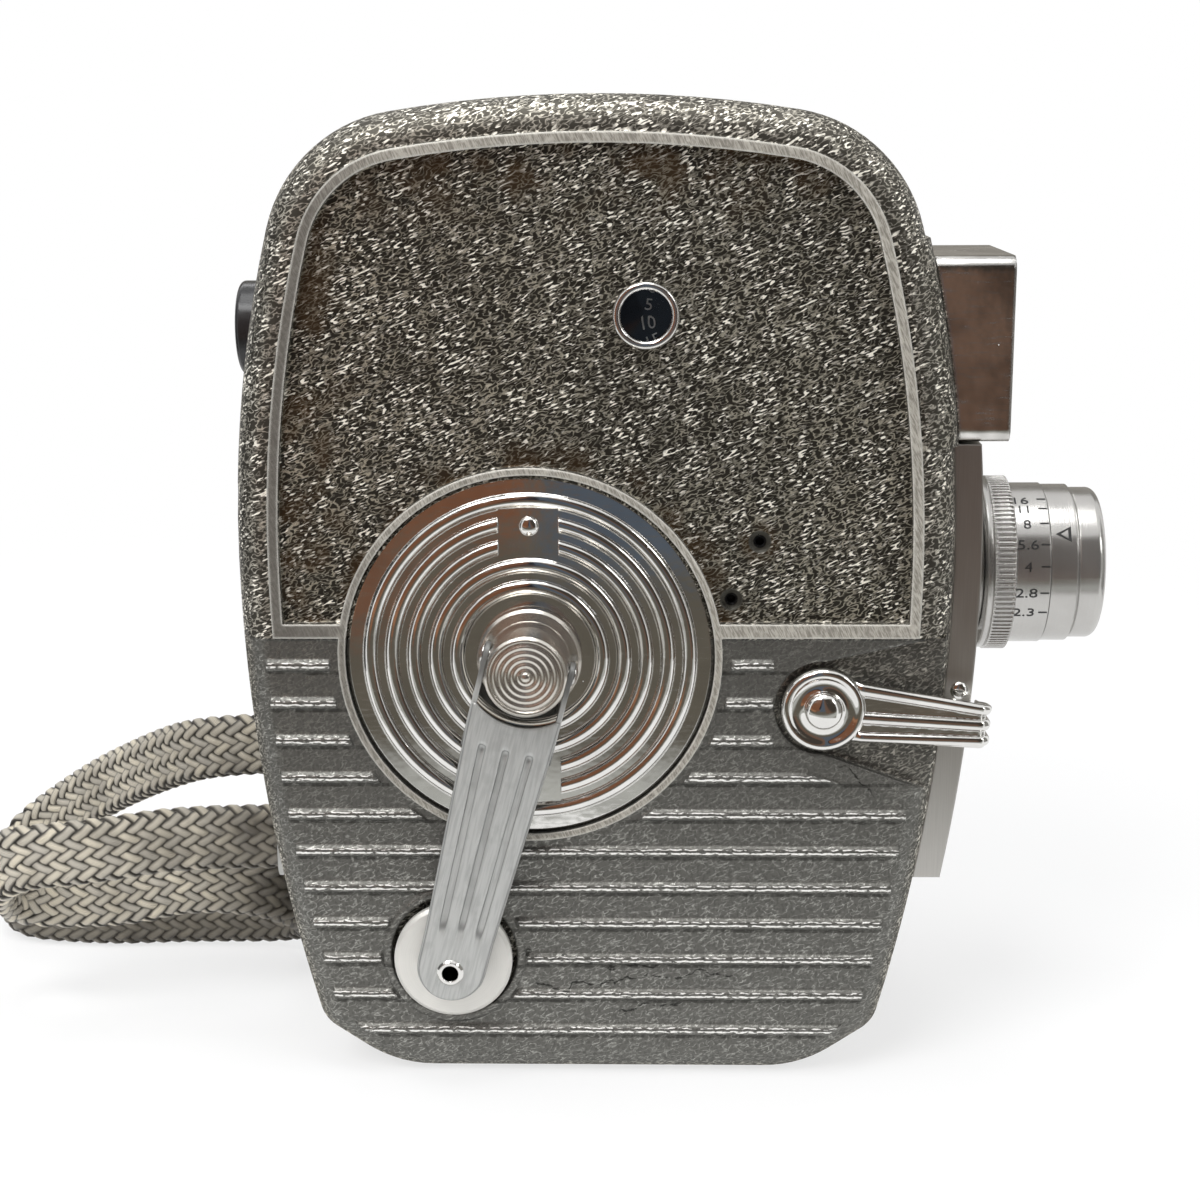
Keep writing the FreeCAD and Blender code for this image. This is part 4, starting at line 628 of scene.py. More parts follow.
for sign, operation in (("add", "ADD"), ("radd", "ADD"), ("sub", "SUBTRACT"), ("mul", "MULTIPLY"),
                        ("rmul", "MULTIPLY"), ("truediv", "DIVIDE"), ("lt", "LESS_THAN"),
                        ("gt", "GREATER_THAN"), ("abs", "ABSOLUTE")):
    setattr(Level, "__%s__" % sign, lambda *levels, node=operation: calc(node, *levels))


def fill(socket, value):
    """Link the socket to a level or to another node's output, or set it to a plain value."""
    value = getattr(value, "socket", value)
    if isinstance(value, bpy.types.NodeSocket):
        socket.id_data.links.new(value, socket)
    elif isinstance(value, tuple) and len(value) == 3 and socket.type == "RGBA":
        socket.default_value = (*value, 1.0)
    else:
        socket.default_value = value


def dress(node, **inputs):
    """Fill the node's inputs by name; a name uses _ for a space."""
    for name, value in inputs.items():
        fill(node.inputs[name.replace("_", " ")], value)
    return node


def shade(tree, kind, settings=None, **inputs):
    """A new node of the kind, with its settings and its inputs."""
    made = tree.nodes.new("ShaderNode" + kind)
    for name, value in (settings or {}).items():
        setattr(made, name, value)
    return dress(made, **inputs)


def calc(operation, *values, clamp=False):
    """The result of a Math node, in the tree of the first level among the values."""
    tree = next(value.tree for value in values if isinstance(value, Level))
    made = shade(tree, "Math", {"operation": operation, "use_clamp": clamp})
    for socket, value in zip(made.inputs, values):
        fill(socket, value)
    return Level(made.outputs[0])


def less(level):
    """1 less the level, and 0 where that would be below 0."""
    return calc("SUBTRACT", 1.0, level, clamp=True)


def most(first, *others):
    """The greatest of several levels."""
    for other in others:
        first = calc("MAXIMUM", first, other)
    return first


def span(level, low, high, first=0.0, last=1.0):
    """A smooth step: first below low, last above high."""
    made = shade(level.tree, "MapRange", {"interpolation_type": "SMOOTHSTEP", "clamp": True},
                 Value=level, From_Min=low, From_Max=high, To_Min=first, To_Max=last)
    return Level(made.outputs[0])


def stripe(level, middle, outer, inner):
    """1 within inner of the middle value, fading to 0 at outer."""
    return span(abs(level - middle), outer, inner)


def coats(colour, *layers):
    """The colour under several coats, each a pair (amount, colour), laid one on another."""
    for amount, coat in layers:
        mixed = shade(amount.tree, "Mix", {"data_type": "RGBA"})
        for number, value in ((0, amount), (6, colour), (7, coat)):
            fill(mixed.inputs[number], value)
        colour = mixed.outputs[2]
    return colour


def either(amount, first, second):
    """The shader that is first at amount 0 and second at amount 1."""
    mixed = shade(amount.tree, "MixShader", Fac=amount)
    fill(mixed.inputs[1], first.outputs[0])
    fill(mixed.inputs[2], second.outputs[0])
    return mixed.outputs[0]


def seen_plainly(tree):
    """1 for rays from the viewer, from glass and from metal."""
    rays = shade(tree, "LightPath").outputs
    return most(*(Level(rays["Is %s Ray" % kind]) for kind in ("Camera", "Transmission", "Glossy")))


def axes(vector):
    """The x, y and z of a vector, as levels."""
    return [Level(part) for part in
            shade(vector.id_data, "SeparateXYZ", Vector=vector).outputs]


def vector_calc(operation, vector, second=None):
    """The outputs of a Vector Math node on one vector or two."""
    made = shade(vector.id_data, "VectorMath", {"operation": operation}, Vector=vector)
    if second is not None:
        fill(made.inputs[1], second)
    return made.outputs


def noise(place, scale, detail=1.0, stretch=None, warp=0.0):
    """Noise whose lumps are about 1/scale units across; stretch multiplies each axis."""
    if stretch:
        place = vector_calc("MULTIPLY", place, stretch)[0]
    return Level(shade(place.id_data, "TexNoise", Vector=place, Scale=scale, Detail=detail,
                       Distortion=warp).outputs["Fac"])


def dimmed(tone, share):
    """A colour with each part multiplied by the share."""
    return tuple(share * part for part in tone)


# %% [markdown]
# The room is a pale floor that runs on into a white surround. The surround is white for the
# viewer and in metal and glass, and dimmer for matt surfaces, so that the lamps shape them. A
# large soft lamp above and in front does most of the work, as a window or a softbox would.

# %% Light the room
WHITE = (1.0, 1.0, 1.0)
SKY, SKY_LEVEL = (0.97, 0.98, 1.0), 0.42
scene = bpy.context.scene
scene.view_settings.view_transform = "Standard"

world = bpy.data.worlds.new("surround")
scene.world = world
world.use_nodes = True
tree = world.node_tree
tree.nodes.clear()
dim = shade(tree, "Background", Color=SKY, Strength=SKY_LEVEL)
white = shade(tree, "Background", Color=WHITE, Strength=1.0)
shade(tree, "OutputWorld", Surface=either(seen_plainly(tree), dim, white))


def lamp(name, place, height, size, power):
    """A soft square lamp, turned to a point on the object's axis at the height."""
    light = bpy.data.lights.new(name, "AREA")
    light.size, light.energy = size, power
    held = bpy.data.objects.new(name, light)
    bpy.context.collection.objects.link(held)
    held.location = place
    aim = Vector((0, 0, height)) - Vector(place)
    held.rotation_euler = aim.to_track_quat("-Z", "Y").to_euler()


for name, place, height, size, power in (
        ("window", (-0.45, -0.65, 0.95), 0.06, 0.6, 8.0),
        ("side_light", (0.85, -0.45, 0.6), 0.06, 0.35, 2.2),
        ("back_light", (-0.4, 0.9, 0.8), 0.06, 0.6, 3.5),
        ("overhead", (0.0, -0.12, 0.95), 0.1, 0.4, 3.2)):
    lamp(name, place, height, size, power)
    print("lamp:", name, power, "W")

# %% [markdown]
# The floor is one large plane just under the foot. Near the object it is matt and nearly white
# and takes the shadow; further out it fades into a plain white glow that meets the surround, so
# that no edge shows. The pattern is a round patch worked out from the distance to the object.

# %% Lay the floor
FLOOR_REACH, FLOOR_DOWN = 4.0, -0.00005
NEAR_GLOW = 0.7
floor = mesh_piece("floor", np.array([
    (x * FLOOR_REACH, y * FLOOR_REACH, FLOOR_DOWN)
    for x, y in ((-1, -1), (1, -1), (1, 1), (-1, 1))]), [(0, 1, 2, 3)], smooth=False)
pale = bpy.data.materials.new("pale_floor")
pale.use_nodes = True
tree = pale.node_tree
paint = dress(tree.nodes["Principled BSDF"], Base_Color=(0.9, 0.9, 0.9), Roughness=0.9,
              Specular_IOR_Level=0.1)
glow = shade(tree, "Emission", Color=WHITE, Strength=1.0)
away = Level(vector_calc("LENGTH", shade(tree, "TexCoord").outputs["Object"])["Value"])
share = NEAR_GLOW + span(away, 0.12, 0.42) * (1 - NEAR_GLOW)
dress(tree.nodes["Material Output"], Surface=either(share * seen_plainly(tree), paint, glow))
floor.data.materials.append(pale)

# %% [markdown]
# Polished metal in a plain white room looks like paper. A photographer stands grey cards round
# it, and the metal shows them as its dark half. Four curved cards stand here, out of the
# viewer's sight: only rays from metal and glass meet them, so they shade nothing. The front card
# has painted patches, which give the winding disc its warm and dark bands.

# %% Stand the grey cards
CARD_STEPS = 24


def grey_card(name, heading, spread, near, far, height, tone, patches=()):
    """A sheet that lies on the floor near the object and curves up as it goes away.

    Angle across and a second parameter t place a point: distance near + (far - near) sin t,
    height (1 - cos t) times the card's height, at that heading. A patch (near_y, x_low, x_high,
    soft, colour) paints what lies beyond near_y between two places across, in metres.
    """
    angle = np.radians(np.linspace(heading - spread, heading + spread, CARD_STEPS))[:, None]
    turn = np.linspace(0.0, math.pi / 2, CARD_STEPS)[None, :]
    reach = near + (far - near) * np.sin(turn)
    points = np.stack([reach * np.cos(angle), reach * np.sin(angle),
                       0.002 + height * (1 - np.cos(turn)) + 0 * angle], axis=-1)
    card = mesh_piece(name, points, grid_faces(CARD_STEPS, CARD_STEPS)[:, ::-1].tolist())
    made = bpy.data.materials.new(name)
    made.use_nodes = True
    tree = made.node_tree
    tree.nodes.clear()
    where = shade(tree, "TexCoord").outputs["Object"]
    x, y, _ = axes(where)
    colour = coats(dimmed(tone, 0.7), (span(noise(where, 2.6, 1.5), 0.38, 0.62), dimmed(tone, 1.3)))
    for near_y, x_low, x_high, soft, paint in patches:
        inside = span(x, x_low - soft, x_low + soft) * span(x, x_high + soft, x_high - soft)
        colour = coats(colour, (inside * span(y, near_y, near_y - 0.03), paint))
    light = shade(tree, "Emission", Color=colour, Strength=1.0)
    shade(tree, "OutputMaterial", Surface=light.outputs[0])
    card.data.materials.append(made)
    card.visible_camera = card.visible_diffuse = card.visible_shadow = False
    card.visible_volume_scatter = False


grey_card("front_card", -90, 52, 0.125, 0.75, 0.9, (0.135, 0.122, 0.10), (
    (-0.08, -0.40, 0.40, 0.002, (0.48, 0.485, 0.46)),
    (-0.14, -0.40, 0.40, 0.002, (0.125, 0.112, 0.09)),
    (-0.20, -0.40, -0.052, 0.008, (0.175, 0.088, 0.055)),
    (-0.21, -0.40, -0.078, 0.004, (0.36, 0.18, 0.10)),
    (-0.25, -0.40, -0.024, 0.006, (0.20, 0.09, 0.05)),
    (-0.315, -0.05, -0.016, 0.004, (0.022, 0.022, 0.026)),
    (-0.235, -0.018, 0.06, 0.006, (0.095, 0.115, 0.145)),
    (-0.17, 0.062, 0.16, 0.006, (0.16, 0.098, 0.07)),
    (-0.17, 0.12, 0.40, 0.03, (0.06, 0.05, 0.042))))
grey_card("right_card", -8, 20, 0.2, 0.8, 0.7, (0.22, 0.215, 0.2))
grey_card("back_card", 90, 45, 0.17, 0.8, 0.8, (0.24, 0.225, 0.2))
grey_card("left_card", 180, 24, 0.2, 0.8, 0.6, (0.12, 0.123, 0.126))

# %% [markdown]
# Each finish starts from the same shader. Positions come from the object's own coordinates, in
# millimetres, so a pattern has its real scale and stays where it is when a piece moves. The
# helpers give the distance from an axis, which turned work needs; an eased normal, because no
# real edge is sharp; and dust, the small pale specks that lie on every old camera.

# %% Helpers for finishes
def new_finish(name, colour, roughness, metallic, **more):
    """A material, its shader, and the place in millimetres as a vector."""
    made = bpy.data.materials.new(name)
    made.use_nodes = True
    tree = made.node_tree
    shader = dress(tree.nodes["Principled BSDF"], Base_Color=colour, Roughness=roughness,
                   Metallic=metallic, **more)
    where = shade(tree, "VectorMath", {"operation": "SCALE"}, Scale=1 / MM,
                  Vector=shade(tree, "TexCoord").outputs["Object"])
    return made, shader, where.outputs["Vector"]


def tilted(place, degrees):
    """The place turned about y, for a pattern that runs aslant."""
    return shade(place.id_data, "VectorRotate", {"rotation_type": "Y_AXIS"}, Vector=place,
                 Angle=math.radians(degrees)).outputs[0]


def eased(shader, radius):
    """The normal of a face whose edges are eased by a radius in millimetres."""
    return shade(shader.id_data, "Bevel", {"samples": 6}, Radius=radius * MM).outputs["Normal"]


def face_normal(shader):
    """The normal of the face itself."""
    return shade(shader.id_data, "NewGeometry").outputs["Normal"]


def bump(shader, height, depth, under=None):
    """Tilt the shader's normal by a level from 0 to 1 that stands for depth millimetres."""
    made = shade(shader.id_data, "Bump", Height=height, Distance=depth * MM, Strength=1.0)
    if under:
        dress(made, Normal=under)
    dress(shader, Normal=made.outputs["Normal"])


def from_axis(place, axis, centre):
    """Distance in millimetres from a line along x, y or z through the centre."""
    off = vector_calc("SUBTRACT", place, centre)[0]
    flat = vector_calc("MULTIPLY", off, [float(letter != axis) for letter in "xyz"])[0]
    return Level(vector_calc("LENGTH", flat)["Value"])


def dust(place, spacing=1.6, share=0.12, grain=0.16):
    """1 on small round specks: cells of the given spacing, of which only a share holds one."""
    cell = shade(place.id_data, "TexVoronoi", Vector=place, Scale=1.0 / spacing).outputs
    chosen = shade(place.id_data, "SeparateColor", Color=cell["Color"]).outputs["Red"]
    return (Level(cell["Distance"]) < grain / spacing * 0.5) * (Level(chosen) < share)


# %% [markdown]
# The casting has three kinds of surface: the sunk panel and the rounded outside, the ribbed
# lower half, and the raised bead, lip and rings, which were machined bare. Each is a level from
# 0 to 1, worked out from the height, the depth and the distance from an axis. Along the ribs the
# enamel is worn off the crests in broken lines, which are also painted bright as a highlight,
# and a painted shadow lies at their feet.

# %% Map the casting
PANEL_FOOT = 61.0
FACE_DEPTH, RIB_DEPTH, BEAD_DEPTH = 24.5, 25.1, 25.32
RIB_FIRST, RIB_PITCH = 6.7, 5.1


def casting_map(shader, place):
    """Levels by name: above the ribs, sunk panel, ribbed part, bare metal, rib, near side."""
    _, y, z = axes(place)
    deep, near = abs(y), y < -15.0
    above = z > PANEL_FOOT
    facing = span(abs(axes(face_normal(shader))[1]), 0.9, 0.97)
    rings = most(from_axis(place, "y", HUB) < 25.5, from_axis(place, "y", KNOB) < 9.75) * near
    rings = most(rings, (from_axis(place, "y", LATCH) < 12.2) * (1.0 - near))
    turned = most(above, rings)
    return {"above": above, "near": near, "sunk": facing * above * (deep < FACE_DEPTH),
            "low": span(z, PANEL_FOOT + 0.4, PANEL_FOOT) * span(deep, 22.0, 24.6),
            "bare": span(deep, BEAD_DEPTH, BEAD_DEPTH + 0.015) * turned,
            "rib": calc("SUBTRACT", span(deep, RIB_DEPTH, RIB_DEPTH + 0.1), turned, clamp=True),
            "foot": span(deep, 24.8, 24.95) * (1.0 - above)}


def rib_wear_and_light(place, part):
    """Two worn lines on each rib's crest that also carry a painted highlight, a painted shadow at
    its foot, and a broken pattern.

    The line is the height above the nearest rib's middle, shaken by a little noise.
    """
    z = axes(place)[2]
    turns = calc("FRACT", (z - RIB_FIRST) / RIB_PITCH + 0.5)
    broken = noise(place, 1.1, 3.0, (1.0, 1.0, 3.0))
    wander = (noise(place, 0.9, 2.0) - 0.5) * 0.45
    line = (turns - 0.5) * RIB_PITCH + wander
    # Worn lines on the crests, also painted bright as a highlight.
    upper = stripe(line, 0.36, 0.11, 0.04) * span(broken, 0.47, 0.52)
    lower = stripe(line, -0.12, 0.17, 0.08) * span(broken, 0.41, 0.47)
    # Painted shadow: a dark line at the foot of each rib.
    foot = stripe(line, -0.95, 0.35, 0.15) * part["foot"] * span(wander, -0.05, 0.03, 0.3, 0.7)
    return most(upper, lower) * part["rib"], foot, broken


# %% [markdown]
# The finish is a wrinkle enamel with metal in it. It dries into worm-like wrinkles about 0.7 mm
# apart, over lumps of a few millimetres. A worm is the line where a cloudy pattern passes its
# middle value, so its level is one less the distance from that value. The wrinkles have no
# relief: their crests are painted pale as a painted highlight and their valleys dark as painted
# shade, with metal and roughness to match, and here and there a short crest has a painted glint.
# The bump draws only the step where the enamel ends at bare metal or at the ribs. The sunk panel
# is darkest and has brown stains, the ribbed part has less contrast, bare metal shows fine tool
# marks with a painted highlight on its edges and painted shade to the left, the two holes of the
# missing nameplate are painted black as painted shade, and the casting is black inside the
# finder's hood.

# %% Wrinkle enamel on the castings
COAT_STEP = 2.7
HOLES = ((21.2, 0.0, 73.9), (17.6, 0.0, 66.3))
HOOD_Y, HOOD_Z, HOOD_HALF_WIDE, HOOD_HALF_HIGH = -10.0, 98.1, 11.4, 11.2
SCRATCHES = ((-9.5, 19.0, 13.6, 0.08), (-10.5, 9.0, 16.4, -0.13), (31.0, 37.0, 79.5, -1.1),
             (2.0, 12.0, 9.0, 0.2))
# Colours of marks: the hole colour is painted shade, the rib-foot colour a painted shadow, the
# glint colour a painted highlight, and the crest colour worn metal with a painted highlight.
HOLE_SHADE, SCRATCHED, FOOT_SHADOW = (0.004, 0.004, 0.004), (0.02, 0.02, 0.018), (0.03, 0.029, 0.026)
RUST, PAINTED_GLINT_COLOUR, RUBBED_AND_LIT = (0.075, 0.045, 0.02), (1.0, 0.96, 0.85), (0.92, 0.91, 0.87)


def scratches(place):
    """Thin wavering lines (start, end, height, slope) across the near side."""
    x, y, z = axes(place)
    shake = (noise(place, 0.35, 3.0) - 0.5) * 5.0
    return most(*(stripe(z - (height + (shake + x * slope)), 0.0, 0.22, 0.08)
                  * (span(x, start, start + 1.5) * span(x, end, end - 1.5))
                  for start, end, height, slope in SCRATCHES)) * (y < -22.0)


def bare_metal(place, slant, rounded, shader):
    """Warm grey with tool marks, painted shade darker to the left, and a painted highlight
    along the eased edges.
    """
    marks = noise(slant, 1.0, 2.0, (6.0, 1.0, 0.9))
    # Painted highlight along the eased edges.
    rubbed_and_lit = span(Level(vector_calc("DOT_PRODUCT", rounded, face_normal(shader))["Value"]),
                  0.992, 0.9)
    return coats((0.25, 0.232, 0.198), (span(marks, 0.35, 0.65), (0.47, 0.445, 0.39)),
                 # Painted shade, darker to the left.
                 (span(axes(place)[0], -22.0, -40.0, 0.0, 0.85), (0.10, 0.092, 0.08)),
                 (rubbed_and_lit * 0.8, (0.72, 0.70, 0.64)))


def wrinkle_enamel():
    made, shader, place = new_finish("wrinkle_enamel", (0.3, 0.29, 0.26), 0.4, 0.85)
    x, y, z = axes(place)
    part = casting_map(shader, place)
    low, sunk, bare, near = part["low"], part["sunk"], part["bare"], part["near"]
    slant = tilted(place, 24)
    from_line = abs(noise(slant, 1.5, 0.6, (0.72, 1.0, 1.4), 0.4) - 0.5)
    worm = less(from_line * 13.0)
    lumps = noise(place, 0.34, 2.0, (1.5, 1.0, 0.65))
    stroke = span(noise(slant, 2.4, 0.5, (0.45, 1.0, 1.5)), 0.36, 0.6, 0.3, 1.0)
    # Painted highlight and shade: the crests of the wrinkles are painted pale and their valleys
    # dark.
    lit_crest = calc("POWER", less(from_line * 8.5), 2.2) * stroke
    shaded_valley = 1.0 - lit_crest
    # Painted glints: a few short crests painted nearly white where they would catch the light.
    painted_glint = (span(noise(slant, 2.3, 0.5, (0.5, 1.0, 1.6)), 0.59, 0.66)
             * span(lumps, 0.40, 0.56) * (1.0 - low))
    blotch = span(lumps + noise(place, 0.075, 2.0) * 0.6, 0.62, 0.95)
    # Crest colours and valley colours by region; the valley colours are painted shade.
    tone = coats((0.80, 0.755, 0.64), (low, (0.42, 0.418, 0.386)), (sunk, (0.72, 0.67, 0.53)))
    valley_shade_colour = coats((0.05, 0.046, 0.038), (low, (0.15, 0.148, 0.136)), (sunk, (0.022, 0.02, 0.016)))
    grain = span(noise(place, 2.2, 2.0, (1.2, 1.0, 0.8)), 0.55, 0.35) * (low * 0.28)

    hole = calc("MINIMUM", *(from_axis(place, "y", centre) for centre in HOLES))
    border = most(span(x, -27.0, -38.0), span(z, 112.0, 122.0),
                  span(from_axis(place, "y", HUB), 30.0, 25.0) * near, span(hole, 3.6, 1.2) * near)
    stain = border * sunk * span(noise(place, 0.22, 3.0), 0.42, 0.66)
    rubbed_and_lit, foot, broken = rib_wear_and_light(place, part)
    rounded = eased(shader, 0.55)
    scratched = scratches(place) * span(broken, 0.40, 0.52)
    hooded = ((abs(y - HOOD_Y) < HOOD_HALF_WIDE) * (abs(z - HOOD_Z) < HOOD_HALF_HIGH)
              * (x > 30.0))
    colour = coats(
        # Painted shade in the valleys and painted highlight on the crests of the wrinkles.
        valley_shade_colour, ((1.0 - blotch * 0.5) * (1.0 - shaded_valley * 0.97), tone), (grain, (0.03, 0.03, 0.027)),
        # Painted glints, then real stains and the rings round the holes.
        (painted_glint, PAINTED_GLINT_COLOUR), (stain * 0.75, RUST), (span(hole, 1.6, 1.35) * near, (0.075, 0.072, 0.06)),
        # Painted shade: the holes of the missing nameplate are painted black, and the feet of the
        # ribs take a painted shadow.
        (span(hole, 0.95, 0.75) * near, HOLE_SHADE), (foot, FOOT_SHADOW),
        # Worn rib crests, also a painted highlight.
        (scratched * 0.85, SCRATCHED), (rubbed_and_lit, RUBBED_AND_LIT),
        (bare, bare_metal(place, slant, rounded, shader)), (hooded, (0.008,) * 3))
    shine = most(worm, painted_glint) * (1.0 - low)
    dress(shader, Base_Color=colour, Roughness=0.2 + shaded_valley * 0.3,
          Metallic=0.85 - most(rubbed_and_lit, bare) * 0.45 - shine * 0.36)
    bump(shader, (1.0 - low * 0.5) * (1.0 - bare * 0.93), COAT_STEP, under=rounded)
    return made


# %% [markdown]
# Chrome plate is a mirror with a history: hair-fine scratches, a slight unevenness that bends
# reflections, and dust. The finder's hood and the screws are the same metal, so one function
# makes them all, with more haze where the plate is dull.

# %% Chrome plate
def chrome_plate(name, roughness, wave=0.012, tone=(0.8, 0.79, 0.765), dusty=0.1, edge=0.2,
                 haze=0.1):
    made, shader, place = new_finish(name, tone, roughness, 1.0)
    scuff = span(noise(place, 1.0, 3.0, (0.35, 1.0, 2.6)), 0.45, 0.8)
    cloud = span(noise(place, 0.16, 2.0), 0.35, 0.65)
    speck = dust(place, 1.7, dusty)
    dress(shader, Base_Color=coats(dimmed(tone, 1 - haze), (cloud, tone)),
          Roughness=most(roughness * 0.7 + scuff * (roughness * 1.4), speck * 0.6),
          Metallic=1.0 - speck * 0.75)
    bump(shader, noise(place, 0.7, 1.0), wave, under=eased(shader, edge))
    return made


# %% [markdown]
# The crank arm was plated too, but it is matt from years of thumbs. Dull metal is half way to
# paint: it keeps little of the mirror and shows its own light grey. Fine wavy lines along the
# arm are the marks of the rolled sheet. The walls of its grooves, and all that lies below its
# face, such as the dimples and the turned-down edge, are darkened as painted shade.

# %% Satin plate
def satin_plate(name, tone):
    made, shader, place = new_finish(name, tone, 0.42, 0.45)
    y = axes(place)[1]
    grain = noise(tilted(place, -14.5), 1.0, 3.0, (3.2, 1.0, 0.22), 0.3)
    cloud = span(noise(place, 0.35, 3.0), 0.52, 0.7)
    # Painted shade: the groove walls and all that lies below the face are darkened.
    sunk = span(y, -30.98, -30.72)
    wall = calc("MULTIPLY", sunk * 4.0, 1.0 - sunk, clamp=True)
    wall = most(wall * 0.6, span(y, -30.62, -30.4, 0.0, 0.75))
    dress(shader, Base_Color=coats(
        dimmed(tone, 0.84), (span(grain, 0.35, 0.6), tone), (cloud * 0.3, dimmed(tone, 0.6)),
        (wall, dimmed(tone, 0.22))))
    bump(shader, grain, 0.012)
    return made


# %% [markdown]
# Turned aluminium keeps the marks of the tool: fine rings round its axis. A noise that changes
# only with the distance along the axis, or only with the distance from it, draws them. Brushed
# metal has long fine scratches instead.

# %% Turned and brushed metal
def turned_metal(name, axis, centre, tone, roughness, faced=False, metal=1.0):
    """faced: rings of different radius on a face, and not bands along the axis."""
    made, shader, place = new_finish(name, tone, roughness, metal, Anisotropic=0.4)
    run = axes(place)["xyz".index(axis)] * (0.4 if faced else 1.0) + from_axis(place, axis, centre)
    line = shade(shader.id_data, "CombineXYZ", X=run).outputs[0]
    rings, cloud = noise(line, 7.0, 2.0), noise(place, 0.25, 2.0)
    bright = tuple(min(1.12 * part, 0.95) for part in tone)
    dress(shader, Base_Color=coats(dimmed(tone, 0.74), ((rings + cloud) * 0.5, bright)),
          Roughness=roughness - 0.06 + cloud * 0.14)
    bump(shader, rings, 0.012, under=eased(shader, 0.25))
    return made


def brushed_metal(name, tone, roughness, stretch, wear=0.0):
    """Noise drawn out along one way. wear darkens it in patches."""
    made, shader, place = new_finish(name, tone, roughness, 1.0)
    grain, cloud = noise(place, 1.0, 3.0, stretch), noise(place, 0.2, 3.0)
    colour = coats(dimmed(tone, 0.8), (grain, tone))
    if wear:
        colour = coats(colour, (span(cloud, 0.5, 0.7) * wear, dimmed(tone, 0.35)))
    dress(shader, Base_Color=colour, Roughness=roughness - 0.05 + grain * 0.12)
    bump(shader, grain, 0.01, under=eased(shader, 0.35))
    return made


# %% [markdown]
# The dark finishes: a stove enamel with a fine orange-peel skin for the plates inside, and a
# moulded plastic, smoother and with a few pale scuffs, for the eyepiece. The glass is clear with
# a trace of colour, as a thin layer on the lens gives it.

# %% Enamel, plastic and glass
def dark_coat(name, tone, roughness, peel, scale, shine=0.5):
    made, shader, place = new_finish(name, tone, roughness, 0.0, Specular_IOR_Level=shine)
    cloud = noise(place, 0.3, 3.0)
    dress(shader, Base_Color=coats(tone, (cloud, dimmed(tone, 1.9)),
                                   (dust(place, 1.4, 0.1, 0.12) * 0.5, (0.4, 0.38, 0.34))),
          Roughness=roughness - 0.05 + cloud * 0.12)
    bump(shader, noise(place, scale, 2.0), peel)
    return made


def clear_glass():
    made, shader, place = new_finish("coated_glass", (0.93, 0.95, 0.97), 0.02, 0.0,
                                     Transmission_Weight=1.0, IOR=1.52)
    dress(shader, Roughness=span(noise(place, 0.15, 1.0), 0.5, 0.8) * 0.06)
    return made


# %% [markdown]
# The strap's yarns are mercerised cotton, tan and grey by turns, each a bundle of filaments with
# a soft sheen. The yarn's number came with its vertices as u, and the way round it as v, so the
# material knows which yarn it is on and runs its filaments along it. The sides of each yarn are
# darkened as painted shade between the yarns. The strap is darker near its ends at the camera
# from handling, and painted shade darkens it behind the camera body and along its lowest turn.

# %% Braided cotton
TAN, GREY = (0.95, 0.865, 0.69), (0.60, 0.565, 0.495)


def braided_cotton():
    made, shader, place = new_finish("braided_cotton", (0.3, 0.27, 0.22), 0.46, 0.0,
                                     Sheen_Weight=0.12, Sheen_Roughness=0.4)
    x, _, z = axes(place)
    yarn, around, _ = axes(shade(shader.id_data, "UVMap").outputs["UV"])
    number, length = calc("FLOOR", yarn), calc("FRACT", yarn) / 0.9
    odd = Level(shade(shader.id_data, "TexWhiteNoise", {"noise_dimensions": "1D"},
                      W=number).outputs["Value"])
    thread = around * 26.0 + noise(place, 0.9, 1.0) * 3.0
    filament = 0.5 + calc("SINE", thread * (2 * math.pi)) * 0.5
    # Painted shade on the sides of each yarn, between the yarns.
    shaded_flank = abs(calc("COSINE", around * (2 * math.pi)))
    ends = most(span(length, 0.2, 0.02), span(length, 0.8, 0.98))
    # Painted shade behind the camera body; below, painted shade on the lowest turn and handling
    # soil at the ends.
    body_shadow = span(x, -62.0, -48.0) * span(z, 36.0, 31.0)
    soil_and_shade = most(ends * 0.3, most(body_shadow, span(z, 12.0, 4.0)) * 0.75)
    soil_and_shade = calc("ADD", soil_and_shade, span(noise(place, 0.12, 3.0), 0.5, 0.7) * 0.25, clamp=True)
    dress(shader, Base_Color=coats(
        TAN, (calc("MODULO", number, 2.0) * 0.4 + odd * 0.45, GREY),
        (filament * 0.5, (0.15, 0.13, 0.10)),
        (span(shaded_flank, 0.3, 0.95, 0.0, 0.97), (0.022, 0.018, 0.013)), (soil_and_shade, (0.06, 0.05, 0.036))))
    bump(shader, filament, 0.05)
    return made


# %% [markdown]
# Now each piece takes its finish. The slots of the frame's record say which metal it is, and a
# few pieces are named one by one where their polish or their axis differs.

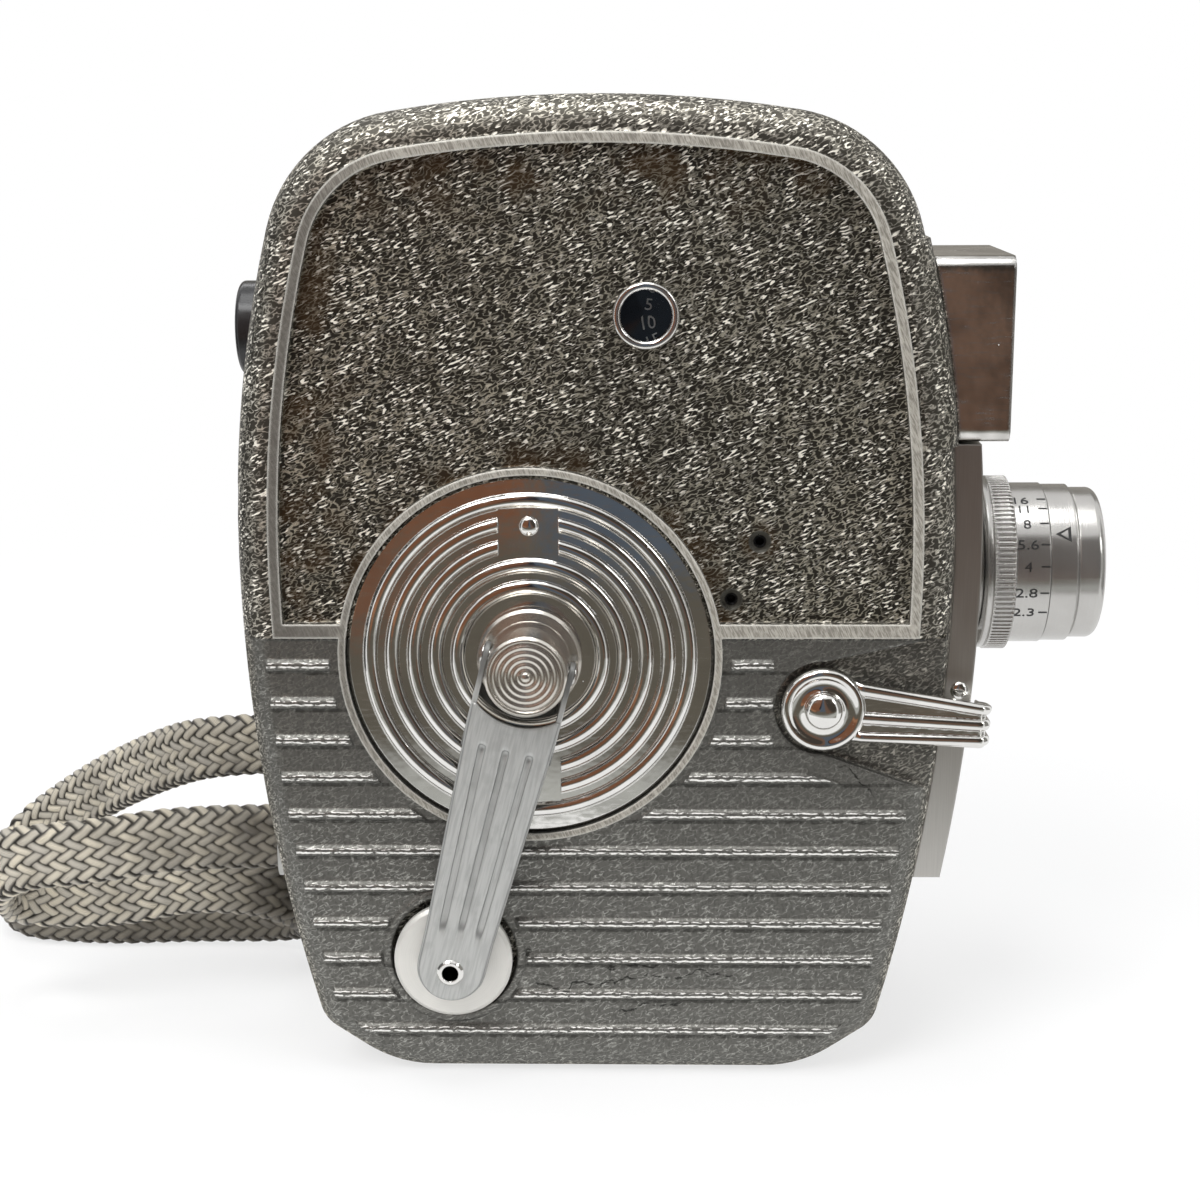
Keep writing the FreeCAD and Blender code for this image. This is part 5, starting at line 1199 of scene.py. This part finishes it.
# %% Put the finishes on
CHROME = chrome_plate("chrome_plate", 0.09)
SATIN = satin_plate("satin_plate", (0.50, 0.505, 0.49))
FINISH_OF_SLOT = {
    "crackle_alloy": wrinkle_enamel(),
    "chrome": CHROME,
    "turned_aluminium": turned_metal("turned_barrel", "x", LENS, (0.56, 0.55, 0.53), 0.22,
                                     metal=0.87),
    "brushed_plate": brushed_metal("brushed_plate", (0.60, 0.585, 0.555), 0.3, (6.0, 6.0, 0.15)),
    "steel": brushed_metal("plain_steel", (0.50, 0.50, 0.49), 0.34, (0.6, 4.0, 2.0), 0.3),
    "brass": brushed_metal("clock_brass", (0.72, 0.53, 0.25), 0.28, (3.0, 0.5, 3.0), 0.35),
    "black_enamel": dark_coat("black_enamel", (0.006, 0.006, 0.006), 0.46, 0.03, 1.2),
    "black_plastic": dark_coat("black_plastic", (0.012, 0.012, 0.013), 0.24, 0.01, 0.6),
    "bush_steel": brushed_metal("bush_steel", (0.46, 0.45, 0.43), 0.36, (2.5, 2.5, 0.4), 0.4),
    "optical_glass": clear_glass(),
    "braid": braided_cotton(),
}
OWN_FINISH = {
    "counter_dial": dark_coat("dial_black", (0.004, 0.005, 0.006), 0.6, 0.01, 1.2, 0.06),
    "finder_hood": chrome_plate("hood_chrome", 0.16, 0.03, (0.78, 0.765, 0.735), 0.05, 0.6, 0.4),
    "crank_knob": turned_metal("faced_knob", "y", KNOB, (0.80, 0.785, 0.74), 0.4, True, 0.45),
    "winding_hub": turned_metal("turned_hub", "y", HUB, (0.70, 0.665, 0.605), 0.21, True, 0.96),
    "strap_ferrules": brushed_metal("ferrule_steel", (0.5, 0.5, 0.48), 0.3, (0.5, 4.0, 4.0)),
}
for entry in frame["record"]["subparts"]:
    piece = frame["nodes"][entry["node"]]
    for place in piece.material_slots:
        place.material = OWN_FINISH.get(entry["node"], FINISH_OF_SLOT[entry["material_slot"]])
PALE_INK = new_finish("pale_ink", (0.5, 0.5, 0.47), 0.6, 0.0)[0]
DARK_INK = new_finish("dark_ink", (0.02, 0.02, 0.02), 0.5, 0.0)[0]
for finish, pieces in (
        (FINISH_OF_SLOT["braid"], [strap]), (SATIN, [arm_sheet, *ears]),
        (CHROME, [*screw_heads, lever_arm, lever_boss, lever_rivet]),
        (OWN_FINISH["winding_hub"], [hub_rings]),
        (FINISH_OF_SLOT["turned_aluminium"], [aperture_grip]),
        (DARK_INK, [scale_marks, index_mark]), (PALE_INK, [dial_numbers])):
    for piece in pieces:
        piece.data.materials.append(finish)
print("finishes:", len(FINISH_OF_SLOT) + len(OWN_FINISH))
